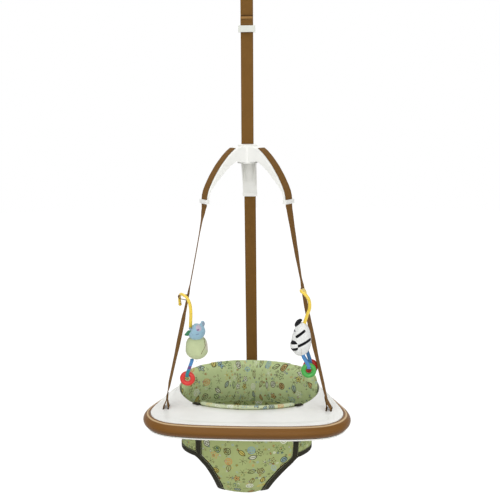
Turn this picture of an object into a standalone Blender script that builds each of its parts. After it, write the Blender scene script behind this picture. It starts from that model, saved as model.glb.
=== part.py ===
"""A baby doorway jumper: door clamp, sprung hanger, webbing, three-armed crown, tray, cloth seat and toys.

Metres, +Z up, the child faces -Y. The origin is midway between the clamp's two pads, level with the
top ledge of the door casing that they stand on.
"""

import math

import bmesh
import bpy
from mathutils import Matrix, Vector

# Clearances and shared wire and web sizes
GAP = 0.0003
RUNNING_GAP = 0.0004
OVERRUN = 0.002
WEBBING_WIDTH = 0.0324
WEBBING_THICKNESS = 0.0016
WEBBING_SLOT_CLEARANCE = 0.0009

# Door clamp
WALL_GRIP = 0.102
CASING_DEPTH = 0.019
PAD_WIDTH = 0.036
PAD_THICKNESS = 0.012
PAD_HEIGHT = 0.034
JAW_WIDTH = 0.030
JAW_THICKNESS = 0.006
JAW_CASING_CLEARANCE = 0.012
JAW_SHANK_LENGTH = 0.075
JAW_HUB_RADIUS = 0.0095
JAW_PIVOT_Z = -0.128
JAW_TAIL_REACH = 0.044
JAW_TAIL_DROP = 0.044
PIN_RADIUS = 0.004
PIN_HEAD_RADIUS = 0.007
PIN_HEAD_LENGTH = 0.003
CHEEK_INNER_X = 0.026
CHEEK_THICKNESS = 0.0035
CHEEK_HALF_DEPTH = 0.011
HANGER_PIN_Z = -0.186
BRIDGE_HEIGHT = 0.006
BRIDGE_DEPTH = 0.010
BRIDGE_Z = -0.155
SPACER_RADIUS = 0.0065
TORSION_WIRE_RADIUS = 0.0008
TORSION_COIL_RADIUS = 0.0062
TORSION_CURLS = 4
TORSION_PITCH = 0.0020
TORSION_LEG = 0.012

# Swinging hanger and spring unit
HANGER_HUB_RADIUS = 0.008
HANGER_SHANK_WIDTH = 0.018
HANGER_SHANK_DEPTH = 0.012
CAP_PIN_Z = -0.206
CAP_PIN_RADIUS = 0.003
CAP_EAR_THICKNESS = 0.003
CAP_EAR_WIDTH = 0.014
CAP_RADIUS = 0.0155
CAP_TOP_Z = -0.222
CAP_THICKNESS = 0.010
SPIGOT_RADIUS = 0.0078
SPIGOT_LENGTH = 0.010
SPRING_WIRE_RADIUS = 0.0015
SPRING_COIL_RADIUS = 0.0105
SPRING_CURLS = 22
SPRING_PITCH = 0.0035
SLEEVE_WALL = 0.0012
SLEEVE_GATHERS = 6
SLEEVE_SIDES = 12
SLEEVE_GATHER_DEPTH = 0.0014
TETHER_RADIUS = 0.0018
TETHER_SWAY = 0.0035
TETHER_BENDS = 3
LUG_HALF_WIDTH = 0.004
LUG_HALF_DEPTH = 0.006
LUG_DROP = 0.0155
RING_WIRE_RADIUS = 0.0026
RING_HALF_WIDTH = 0.0205
RING_BAR_Z = -0.362
RING_CORNER = 0.0038

# Adjuster buckle on the main strap
BUCKLE_WIDTH = 0.044
BUCKLE_HEIGHT = 0.0165
BUCKLE_TOP_Z = -0.4624
BUCKLE_PLATE = 0.002
BUCKLE_FRONT_Y = -0.0075
BUCKLE_BACK_Y = 0.0066
BUCKLE_KEEPER = 0.0032
BUCKLE_BAR_RADIUS = 0.0013
BUCKLE_BAR_Y = -0.0018
MAIN_PLY_Y = 0.0030
RETURN_PLY_Y = 0.0004
FOLD_PLY_Y = -0.0041
FOLD_RISE = 0.0229
FOLD_TOP_Z = BUCKLE_TOP_Z + FOLD_RISE

# Crown: a three-armed plastic spreader
CROWN_TOP_Z = -0.766
CROWN_REACH = 0.1275
CROWN_DROP = 0.146
CROWN_ARM_ANGLES = {"rear": math.radians(90), "left": math.radians(210), "right": math.radians(330)}
CROWN_HUB_RADIUS = 0.027
CROWN_HUB_HEIGHT = 0.050
CROWN_HUB_BEVEL = 0.006
CROWN_WALL = 0.0028
CROWN_ARM_ROOT_WIDTH = 0.044
CROWN_ARM_TIP_WIDTH = 0.0395
CROWN_EDGE_BEVEL = 0.0022
CROWN_RIB_THICKNESS = 0.0016
CROWN_RIB_OFFSET = 0.008
CROWN_TOP_SHARES = [
    (0.12, 0.018), (0.235, 0.030), (0.345, 0.066), (0.424, 0.120), (0.520, 0.200), (0.614, 0.295),
    (0.690, 0.378),
    (0.758, 0.468), (0.822, 0.556), (0.875, 0.642), (0.930, 0.735), (0.968, 0.815), (0.992, 0.900),
    (1.0, 0.975),
]
CROWN_UNDER_SHARES = [
    (0.12, 0.310), (0.235, 0.318), (0.33, 0.300), (0.40, 0.335), (0.475, 0.385), (0.555, 0.447),
    (0.62, 0.505),
    (0.69, 0.575), (0.755, 0.632), (0.815, 0.695), (0.875, 0.760), (0.918, 0.815), (0.945, 0.885),
    (0.962, 0.965),
]
CROWN_SLOT_INDEX = 2
CHANNEL_END_SHARE = 0.9
KEEPER_HEIGHT = 0.011
KEEPER_WALL = 0.0028
KEEPER_BACK = 0.0065
KEEPER_FLARE = 0.0008
CROWN_BAR_RADIUS = 0.003
MAIN_BAR_DROP = 0.026
ARM_BAR_REACH = 0.034
ARM_BAR_DROP = 0.030

# Tray
TRAY_HALF_WIDTH = 0.275
TRAY_FRONT_Y = -0.234
TRAY_REAR_Y = 0.228
TRAY_OUTLINE_WIDTH_SHARES = [
    0.0, 0.25, 0.50, 0.725, 0.880, 0.970, 1.0, 0.985, 0.924, 0.800, 0.640, 0.440, 0.220, 0.0,
]
TRAY_OUTLINE_DEPTH_SHARES = [
    0.0, 0.004, 0.018, 0.056, 0.130, 0.220, 0.300, 0.410, 0.534, 0.670, 0.790, 0.895, 0.970, 1.0,
]
TRAY_STATIONS = 44
DECK_Z = -1.467
DECK_THICKNESS = 0.003
TRAY_SKIRT_Z = -1.4993
TRAY_LIP_RADIUS = 0.003
BUMPER_WIDTH = 0.020
BUMPER_HALF_HEIGHT = 0.016
BUMPER_MIDDLE_Z = -1.483
BUMPER_SHARES = [
    (-1.0, 0.93), (-0.74, 1.0), (-0.38, 0.84), (-0.10, 0.48), (0.0, 0.0), (-0.10, -0.48), (-0.38, -0.84),
    (-0.74, -1.0), (-1.0, -0.93),
]
BOTTOM_PLATE_THICKNESS = 0.004
BOTTOM_PLATE_INSET = 0.010
DECK_SIDE_WIDTH = 0.061
DECK_FRONT_WIDTH = 0.120
DECK_REAR_WIDTH = 0.060
OPENING_FRONT_Y = TRAY_FRONT_Y + BUMPER_WIDTH + DECK_FRONT_WIDTH
OPENING_REAR_Y = TRAY_REAR_Y - BUMPER_WIDTH - DECK_REAR_WIDTH
OPENING_HALF_WIDTH = TRAY_HALF_WIDTH - BUMPER_WIDTH - DECK_SIDE_WIDTH
OPENING_HALF_DEPTH = (OPENING_REAR_Y - OPENING_FRONT_Y) / 2
TRAY_CENTRE_Y = (OPENING_REAR_Y + OPENING_FRONT_Y) / 2
RIM_CLEARANCE = 0.0014
COLLAR_HEIGHT = 0.052
COLLAR_START = math.radians(52)
COLLAR_FULL = math.radians(135)
COLLAR_RAMP_SHARE = 0.62
DECK_SHARES = [0.0, 0.06, 0.20, 0.40, 0.62, 0.82, 0.96]
SIDE_ANCHOR_INSET = 0.056
REAR_ANCHOR_INSET = 0.037
SIDE_ANCHOR_ADVANCE = 0.112
SIDE_ANCHOR_X = TRAY_HALF_WIDTH - SIDE_ANCHOR_INSET
SIDE_ANCHOR_Y = TRAY_CENTRE_Y - SIDE_ANCHOR_ADVANCE
REAR_ANCHOR_Y = TRAY_REAR_Y - REAR_ANCHOR_INSET
ANCHOR_LEG_SPACING = 0.013
ANCHOR_SLOT_LENGTH = 0.036
ANCHOR_SLOT_WIDTH = 0.0044
ANCHOR_SLOT_DEPTH = 0.012
ANCHOR_SPLIT_HEIGHT = 0.040
ANCHOR_SEAM_LENGTH = 0.024
SCREW_COUNT = 4
SCREW_HEAD_RADIUS = 0.004
SCREW_HEAD_HEIGHT = 0.002
SCREW_SHANK_RADIUS = 0.0018
SCREW_BOSS_RADIUS = 0.0045
SCREW_BOSS_SHARE = 0.55
SCREW_DEPTH = 0.016

# Cloth seat
CLOTH_THICKNESS = 0.003
SEAT_BOWL_Z = -1.612
SEAT_BOWL_HEIGHT = 0.137
SEAT_TOP_Z = -1.4705
TAPE_RIM_INSET = 0.058
TAPE_X = OPENING_HALF_WIDTH - TAPE_RIM_INSET
TAPE_WIDTH = 0.018
TAPE_TUCK = 0.012
TAPE_LIFT = 1.15
BINDING_WIDTH = 0.016
BINDING_THICKNESS = 0.0040
BINDING_CLEARANCE = 0.0018
PANEL_EDGE_SHARES = [1.0, 0.90, 0.80, 0.71, 0.63, 0.56, 0.51, 0.475, 0.455, 0.445, 0.441]
REAR_EDGE_SHARES = [0.0, 0.01, 0.04, 0.09, 0.17, 0.27, 0.39, 0.52, 0.66, 0.80, 0.92]
REAR_PANEL_INSET = 0.026
REAR_PANEL_TOP_HALF_WIDTH = OPENING_HALF_WIDTH - REAR_PANEL_INSET
PAD_CLEARANCE = 0.0014
PAD_FULL_THICKNESS = 0.017
PAD_EDGE_THICKNESS = 0.004
PAD_SPREAD = math.radians(101)
PAD_SIDE_TOP_Z = -1.430
PAD_REAR_TOP_Z = -1.394
PAD_BOTTOM_Z = -1.532
ROLL_RADIUS = 0.0055
ROLL_SPREAD = math.radians(40)

# Toys: hooks, stuffed bodies, loops and rings
HOOK_RADIUS = 0.0035
HOOK_BALL_RADIUS = 0.0048
TAB_WIDTH = 0.009
TAB_DEPTH_CLEARANCE = 0.0013
LEFT_HOOK_ROUTE = [
    (-0.1500, -0.0870, -1.2480), (-0.1490, -0.0930, -1.2250), (-0.1495, -0.0985, -1.1950),
    (-0.1570, -0.1010, -1.1700), (-0.1680, -0.0960, -1.1625), (-0.1745, -0.0830, -1.1620),
    (-0.1822, -0.0676, -1.1636), (-0.1855, -0.0598, -1.1740), (-0.1850, -0.0576, -1.1860),
]
LEFT_TAB_POINT = 5
RIGHT_HOOK_ROUTE = [
    (0.1490, -0.0880, -1.2400), (0.1590, -0.0940, -1.2060), (0.1650, -0.1000, -1.1860),
    (0.1630, -0.1050, -1.1640),
    (0.1530, -0.1040, -1.1490), (0.1440, -0.0950, -1.1440), (0.1430, -0.0820, -1.1430),
    (0.1475, -0.0720, -1.1440),
    (0.1520, -0.0620, -1.1480), (0.1545, -0.0560, -1.1580), (0.1545, -0.0540, -1.1690),
]
RIGHT_TAB_POINT = 7
LEFT_TOY_CENTRE = (-0.1330, -0.0900, -1.2990)
LEFT_TOY_SIZE = (0.060, 0.048, 0.076)
LEFT_TOY_TAPER = 0.22
LEFT_HEAD_CENTRE = (-0.1330, -0.0960, -1.2540)
LEFT_HEAD_SIZE = (0.050, 0.044, 0.046)
RIGHT_TOY_CENTRE = (0.1440, -0.0900, -1.2760)
RIGHT_TOY_SIZE = (0.054, 0.046, 0.086)
RIGHT_TOY_TAPER = 0.10
RIGHT_MUZZLE_CENTRE = (0.1240, -0.0980, -1.2890)
RIGHT_MUZZLE_SIZE = (0.030, 0.032, 0.036)
LOOP_WIDTH = 0.009
LOOP_THICKNESS = 0.002
LOOP_SEAM_DEPTH = 0.0065
LEFT_RING = (-0.1590, -0.0900, -1.3840)
GREEN_RING = (0.1640, -0.0960, -1.3560)
RED_RING = (0.1690, -0.0740, -1.3520)
RING_MAJOR_RADIUS = 0.0138
RING_MINOR_RADIUS = 0.0066
RING_LOOP_CLEARANCE = 0.0016

FRONT = Vector((0, -1, 0))
UP = Vector((0, 0, 1))
CURL_POINTS = 8


def clear_scene():
    for item in list(bpy.data.objects):
        bpy.data.objects.remove(item, do_unlink=True)


def finish(name, colour, roughness, metallic=0.0):
    """One Principled material."""
    made = bpy.data.materials.new(name)
    made.use_nodes = True
    shader = made.node_tree.nodes["Principled BSDF"]
    shader.inputs["Base Color"].default_value = (*colour, 1.0)
    shader.inputs["Roughness"].default_value = roughness
    shader.inputs["Metallic"].default_value = metallic
    made.diffuse_color = (*colour, 1.0)
    return made


def add_mesh(name, bm, material, smooth_angle=40):
    """Turns a bmesh into a named object with outward faces and smooth round sides."""
    bmesh.ops.recalc_face_normals(bm, faces=bm.faces)
    mesh = bpy.data.meshes.new(name)
    bm.to_mesh(mesh)
    bm.free()
    mesh.shade_smooth()
    mesh.set_sharp_from_angle(angle=math.radians(smooth_angle))
    mesh.materials.append(material)
    made = bpy.data.objects.new(name, mesh)
    bpy.context.scene.collection.objects.link(made)
    return made


def fill_rings(bm, rings, closed=False):
    """Skins a row of equal rings; an open row gets a face at each end."""
    rows = [[bm.verts.new(point) for point in ring] for ring in rings]
    count = len(rows[0])
    pairs = list(zip(rows, rows[1:]))
    if closed:
        pairs.append((rows[-1], rows[0]))
    for low, high in pairs:
        for i in range(count):
            j = (i + 1) % count
            bm.faces.new((low[i], low[j], high[j], high[i]))
    if not closed:
        bm.faces.new(rows[0])
        bm.faces.new(rows[-1][::-1])


def loft(name, rings, material, closed=False, smooth_angle=40):
    bm = bmesh.new()
    fill_rings(bm, rings, closed)
    return add_mesh(name, bm, material, smooth_angle)


def prism(name, outline, low, high, axis, material, smooth_angle=30):
    """An outline in the plane across an axis, pushed out along it from low to high."""
    def place(point, along):
        u, v = point
        return {"X": Vector((along, u, v)), "Y": Vector((u, along, v)), "Z": Vector((u, v, along))}[axis]

    return loft(
        name, [[place(p, low) for p in outline], [place(p, high) for p in outline]], material, False,
        smooth_angle
    )


def block(name, low, high, material):
    """A box between two corners."""
    outline = [(low[0], low[1]), (high[0], low[1]), (high[0], high[1]), (low[0], high[1])]
    return prism(name, outline, low[2], high[2], "Z", material)


def disc_outline(centre, radius, sides=20):
    turns = [math.tau * i / sides for i in range(sides)]
    return [(centre[0] + radius * math.cos(t), centre[1] + radius * math.sin(t)) for t in turns]


def smooth_route(points, steps, closed=False):
    """A smooth curve through hand-chosen points, with a set number of steps in each span."""
    places = [Vector(p) for p in points]
    count = len(places)
    found = []
    spans = count if closed else count - 1
    for i in range(spans):
        if closed:
            a, b, c, d = (places[(i + k) % count] for k in (-1, 0, 1, 2))
        else:
            b, c = places[i], places[i + 1]
            a = places[i - 1] if i > 0 else b * 2 - c
            d = places[i + 2] if i + 2 < count else c * 2 - b
        for k in range(steps):
            t = k / steps
            square = (a * 2 - b * 5 + c * 4 - d) * t * t
            cube = (b * 3 - a - c * 3 + d) * t**3
            found.append((b * 2 + (c - a) * t + square + cube) / 2)
    if not closed:
        found.append(places[-1])
    return found


def directions(points, closed=False):
    """The unit tangent at each point of a route."""
    count = len(points)
    found = []
    for i in range(count):
        before = points[i - 1] if closed or i > 0 else points[0]
        after = points[(i + 1) % count] if closed or i < count - 1 else points[-1]
        found.append((after - before).normalized())
    return found


def tube(name, points, radius, material, closed=False, sides=8, first_side=None):
    """A round bar along a route; its section is carried along without twist."""
    along = directions(points, closed)
    side = first_side or (UP.cross(along[0]) if abs(along[0].z) < 0.9 else along[0].cross(FRONT))
    rings = []
    for point, tangent in zip(points, along):
        side = (side - tangent * side.dot(tangent)).normalized()
        other = tangent.cross(side)
        turns = [math.tau * k / sides for k in range(sides)]
        rings.append([point + (side * math.cos(t) + other * math.sin(t)) * radius for t in turns])
    return loft(name, rings, material, closed)


def strap(name, points, across, width, thickness, material, closed=False):
    """A flat band along a route; across is one width direction or one for each point."""
    along = directions(points, closed)
    sides = across if isinstance(across, list) else [across] * len(points)
    rings = []
    for point, tangent, wide in zip(points, along, sides):
        wide = (wide - tangent * wide.dot(tangent)).normalized() * (width / 2)
        deep = tangent.cross(wide).normalized() * (thickness / 2)
        rings.append([point - wide - deep, point + wide - deep, point + wide + deep, point - wide + deep])
    return loft(name, rings, material, closed, 60)


def turned(name, profile, centre, axis, material, sides=24):
    """A profile of radius and height pairs turned about an axis through centre."""
    axis = Vector(axis).normalized()
    side = (Vector((1, 0, 0)) if abs(axis.x) < 0.9 else Vector((0, 0, 1))).cross(axis).normalized()
    other = axis.cross(side)
    rings = []
    for radius, height in profile:
        turns = [math.tau * k / sides for k in range(sides)]
        middle = Vector(centre) + axis * height
        rings.append([middle + (side * math.cos(t) + other * math.sin(t)) * radius for t in turns])
    return loft(name, rings, material, False, 35)


def helix(centre, axis_x, coil_radius, pitch, curls, start_leg, end_leg):
    """Points of a coil that climbs along X or down along Z, with straight tangent ends."""
    centre = Vector(centre)
    points = []
    total = curls * CURL_POINTS
    for i in range(total + 1):
        turn = math.tau * i / CURL_POINTS
        climb = pitch * i / CURL_POINTS
        if axis_x:
            points.append(centre + Vector((
                climb, coil_radius * math.cos(turn), coil_radius * math.sin(turn),
            )))
        else:
            points.append(centre + Vector((
                coil_radius * math.cos(turn), coil_radius * math.sin(turn), -climb,
            )))
    flat = Vector((0, 1, 1)) if axis_x else Vector((1, 1, 0))
    first = ((points[0] - points[1]) * flat).normalized() * start_leg
    last = ((points[-1] - points[-2]) * flat).normalized() * end_leg
    return [points[0] + first] + points + [points[-1] + last]


def least_coil_gap(points, curl_points, wire_radius):
    """The least clear space between one turn of a coil and the next."""
    gaps = []
    for i in range(len(points) - curl_points):
        near = min((points[i] - points[j]).length for j in range(
            i + curl_points - 1, min(len(points), i + curl_points + 2),
        ))
        gaps.append(near - 2 * wire_radius)
    return min(gaps)


def as_tool(item):
    """Marks an object as a cutting or joining tool, which the build leaves out."""
    item.hide_render = True
    item.display_type = "WIRE"
    return item


def combine(target, others, operation):
    for other in others:
        modifier = target.modifiers.new(other.name, "BOOLEAN")
        modifier.operation = operation
        modifier.solver = "EXACT"
        modifier.object = as_tool(other)
    return target


def smoothstep(value):
    value = max(0.0, min(1.0, value))
    return value * value * (3 - 2 * value)


def blend(values, share):
    """Reads a list of evenly spaced values at a share from 0 to 1."""
    place = max(0.0, min(1.0, share)) * (len(values) - 1)
    low = min(int(place), len(values) - 2)
    part = place - low
    return values[low] * (1 - part) + values[low + 1] * part


class Finishes:
    def __init__(self):
        self.steel = finish("zinc_steel", (0.62, 0.62, 0.60), 0.35, 1.0)
        self.clamp = finish("clamp_paint", (0.80, 0.80, 0.78), 0.40)
        self.rubber = finish("pad_rubber", (0.12, 0.12, 0.12), 0.80)
        self.webbing = finish("brown_webbing", (0.17, 0.085, 0.025), 0.85)
        self.white = finish("white_plastic", (0.84, 0.83, 0.80), 0.38)
        self.bumper = finish("brown_bumper", (0.23, 0.105, 0.030), 0.30)
        self.cloth = finish("green_print_cloth", (0.36, 0.42, 0.20), 0.90)
        self.binding = finish("dark_binding", (0.035, 0.030, 0.018), 0.85)
        self.pale_cloth = finish("pale_green_cloth", (0.55, 0.60, 0.38), 0.90)
        self.yellow = finish("yellow_plastic", (0.88, 0.64, 0.05), 0.30)
        self.blue = finish("blue_plastic", (0.10, 0.26, 0.55), 0.35)
        self.green = finish("green_plastic", (0.04, 0.45, 0.08), 0.28)
        self.red = finish("red_plastic", (0.72, 0.03, 0.03), 0.28)
        self.toy_blue = finish("pale_blue_plush", (0.32, 0.52, 0.66), 0.90)
        self.toy_green = finish("pale_green_plush", (0.45, 0.55, 0.25), 0.90)
        self.toy_white = finish("white_plush", (0.80, 0.80, 0.80), 0.90)
        self.toy_black = finish("black_plush", (0.02, 0.02, 0.02), 0.90)


def jaw_route(side):
    """The jaw's bar in the YZ plane: pad plate, way round the casing, shank and way in to the pivot."""
    plate_y = WALL_GRIP / 2 + PAD_THICKNESS + GAP + JAW_THICKNESS / 2
    shank_y = WALL_GRIP / 2 + CASING_DEPTH + JAW_CASING_CLEARANCE + JAW_THICKNESS / 2
    turn = JAW_THICKNESS * 2
    shank_low = -JAW_SHANK_LENGTH
    reach_in = JAW_HUB_RADIUS + JAW_THICKNESS / 2
    rise = JAW_PIVOT_Z - shank_low
    route = [
        (plate_y, PAD_HEIGHT), (plate_y, turn * 1.2), (plate_y + turn * 0.35, turn * 0.75),
        (shank_y - turn * 0.3, turn * 0.5), (shank_y, 0), (shank_y, shank_low),
        (shank_y - turn * 0.6, shank_low + rise * 0.35), (shank_y - turn * 2, shank_low + rise * 0.62),
        (shank_y * 0.4, shank_low + rise * 0.88), (reach_in, JAW_PIVOT_Z),
    ]
    return [(side * y, z) for y, z in route]


def tail_route(side):
    first = JAW_HUB_RADIUS + JAW_THICKNESS / 2
    route = [
        (first, JAW_PIVOT_Z - JAW_TAIL_DROP * 0.18),
        (JAW_TAIL_REACH * 0.55, JAW_PIVOT_Z - JAW_TAIL_DROP * 0.42),
        (JAW_TAIL_REACH * 0.86, JAW_PIVOT_Z - JAW_TAIL_DROP * 0.68),
        (JAW_TAIL_REACH, JAW_PIVOT_Z - JAW_TAIL_DROP),
    ]
    return [(side * y, z) for y, z in route]


def bar_outline(route, thickness):
    """Both sides of a bent bar, as one outline."""
    points = [Vector((0, y, z)) for y, z in route]
    along = directions(points)
    sides = [Vector((0, -t.z, t.y)) * (thickness / 2) for t in along]
    left = [p + s for p, s in zip(points, sides)]
    right = [p - s for p, s in zip(points, sides)]
    return [(p.y, p.z) for p in left + right[::-1]]


def make_jaw(label, side, look):
    """One jaw: a bent steel bar with a half-width hub on the pin, a squeeze tail and a rubber pad."""
    half = JAW_WIDTH / 2
    hub_low, hub_high = (-half, -GAP * 1.5) if side < 0 else (GAP * 1.5, half)
    bar = jaw_route(side)
    tail = tail_route(side)
    centre = (0, JAW_PIVOT_Z)
    arm = prism(f"{label}_jaw_arm", bar_outline(bar, JAW_THICKNESS), -half, half, "X", look.clamp)
    inward = prism(
        f"{label}_jaw_in", bar_outline([bar[-2], centre], JAW_THICKNESS), hub_low, hub_high, "X",
        look.clamp,
    )
    hub = prism(f"{label}_jaw_hub", disc_outline(centre, JAW_HUB_RADIUS), hub_low, hub_high, "X", look.clamp)
    root = prism(
        f"{label}_jaw_root", bar_outline([centre, tail[1]], JAW_THICKNESS), hub_low, hub_high, "X",
        look.clamp,
    )
    squeeze = prism(f"{label}_jaw_tail", bar_outline(tail, JAW_THICKNESS), -half, half, "X", look.clamp)
    combine(arm, [inward, hub, root, squeeze], "UNION")
    bore = disc_outline(centre, PIN_RADIUS + RUNNING_GAP)
    combine(
        arm, [prism(f"{label}_jaw_bore", bore, -half - OVERRUN, half + OVERRUN, "X", look.clamp)],
        "DIFFERENCE",
    )
    face = side * WALL_GRIP / 2
    back = face + side * PAD_THICKNESS
    low, high = min(face, back), max(face, back)
    block(f"{label}_jaw_pad", (-PAD_WIDTH / 2, low, 0), (PAD_WIDTH / 2, high, PAD_HEIGHT), look.rubber)


def headed_pin(name, centre, axis, radius, half_span, material):
    """A pin with a low head at each end."""
    profile = [
        (PIN_HEAD_RADIUS, -half_span - PIN_HEAD_LENGTH), (PIN_HEAD_RADIUS, -half_span - GAP),
        (radius, -half_span - GAP),
        (radius, half_span + GAP), (PIN_HEAD_RADIUS, half_span + GAP),
        (PIN_HEAD_RADIUS, half_span + PIN_HEAD_LENGTH),
    ]
    return turned(name, profile, centre, axis, material, 16)


def make_clamp(look):
    make_jaw("front", -1, look)
    make_jaw("rear", 1, look)
    outer = CHEEK_INNER_X + CHEEK_THICKNESS
    top = JAW_PIVOT_Z + CHEEK_HALF_DEPTH
    low = HANGER_PIN_Z - CHEEK_HALF_DEPTH
    depth = CHEEK_HALF_DEPTH
    outline = [
        (-depth, low + depth * 0.5), (-depth * 0.5, low), (depth * 0.5, low), (depth, low + depth * 0.5),
    ]
    outline += [
        (depth, top - depth * 0.5), (depth * 0.5, top), (-depth * 0.5, top), (-depth, top - depth * 0.5),
    ]
    yoke = prism("clamp_yoke", outline, CHEEK_INNER_X, outer, "X", look.clamp)
    other = prism("clamp_yoke_other", outline, -outer, -CHEEK_INNER_X, "X", look.clamp)
    reach = CHEEK_INNER_X + CHEEK_THICKNESS / 2
    bridge = block(
        "clamp_yoke_bridge", (-reach, -BRIDGE_DEPTH / 2, BRIDGE_Z - BRIDGE_HEIGHT / 2),
        (reach, BRIDGE_DEPTH / 2, BRIDGE_Z + BRIDGE_HEIGHT / 2), look.clamp,
    )
    combine(yoke, [bridge, other], "UNION")
    bores = []
    for label, z in (("pivot", JAW_PIVOT_Z), ("hanger", HANGER_PIN_Z)):
        hole = disc_outline((0, z), PIN_RADIUS + GAP)
        bores.append(prism(f"yoke_{label}_bore", hole, -outer - OVERRUN, outer + OVERRUN, "X", look.clamp))
    combine(yoke, bores, "DIFFERENCE")
    headed_pin("jaw_pivot_pin", (0, 0, JAW_PIVOT_Z), (1, 0, 0), PIN_RADIUS, outer, look.steel)
    headed_pin("hanger_pin", (0, 0, HANGER_PIN_Z), (1, 0, 0), PIN_RADIUS, outer, look.steel)
    spacer = prism(
        "pivot_spacer", disc_outline((0, JAW_PIVOT_Z), SPACER_RADIUS), -CHEEK_INNER_X + GAP,
        -JAW_WIDTH / 2 - GAP, "X",
        look.white,
    )
    hole = disc_outline((0, JAW_PIVOT_Z), PIN_RADIUS + GAP)
    combine(spacer, [prism("spacer_bore", hole, -outer, 0, "X", look.white)], "DIFFERENCE")
    start = JAW_WIDTH / 2 + TORSION_WIRE_RADIUS + GAP
    turns = helix(
        (start, 0, JAW_PIVOT_Z), True, TORSION_COIL_RADIUS, TORSION_PITCH, TORSION_CURLS, TORSION_LEG,
        TORSION_LEG,
    )
    tube("jaw_torsion_spring", turns, TORSION_WIRE_RADIUS, look.steel, sides=6)
    print(
        "least gap in jaw_torsion_spring",
        round(least_coil_gap(turns[1:-1], CURL_POINTS, TORSION_WIRE_RADIUS), 5),
    )


def make_hanger(look):
    """The link that swings fore and aft on the yoke and carries the spring cap's cross pin."""
    half = CHEEK_INNER_X - GAP
    hanger = prism(
        "swing_hanger", disc_outline((0, HANGER_PIN_Z), HANGER_HUB_RADIUS), -half, half, "X", look.clamp,
    )
    low = CAP_PIN_Z - HANGER_SHANK_WIDTH / 2 + GAP
    width, depth = HANGER_SHANK_WIDTH / 2, HANGER_SHANK_DEPTH / 2
    outline = [(-width, HANGER_PIN_Z), (-width, low + width / 2), (-width / 2, low), (width / 2, low)]
    outline += [(width, low + width / 2), (width, HANGER_PIN_Z)]
    combine(hanger, [prism("hanger_shank", outline, -depth, depth, "Y", look.clamp)], "UNION")
    reach = half + OVERRUN
    across = prism(
        "hanger_bore", disc_outline((0, HANGER_PIN_Z), PIN_RADIUS + RUNNING_GAP), -reach, reach, "X",
        look.clamp,
    )
    cross = prism(
        "hanger_eye", disc_outline((0, CAP_PIN_Z), CAP_PIN_RADIUS + RUNNING_GAP), -reach, reach, "Y",
        look.clamp,
    )
    combine(hanger, [across, cross], "DIFFERENCE")


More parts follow.
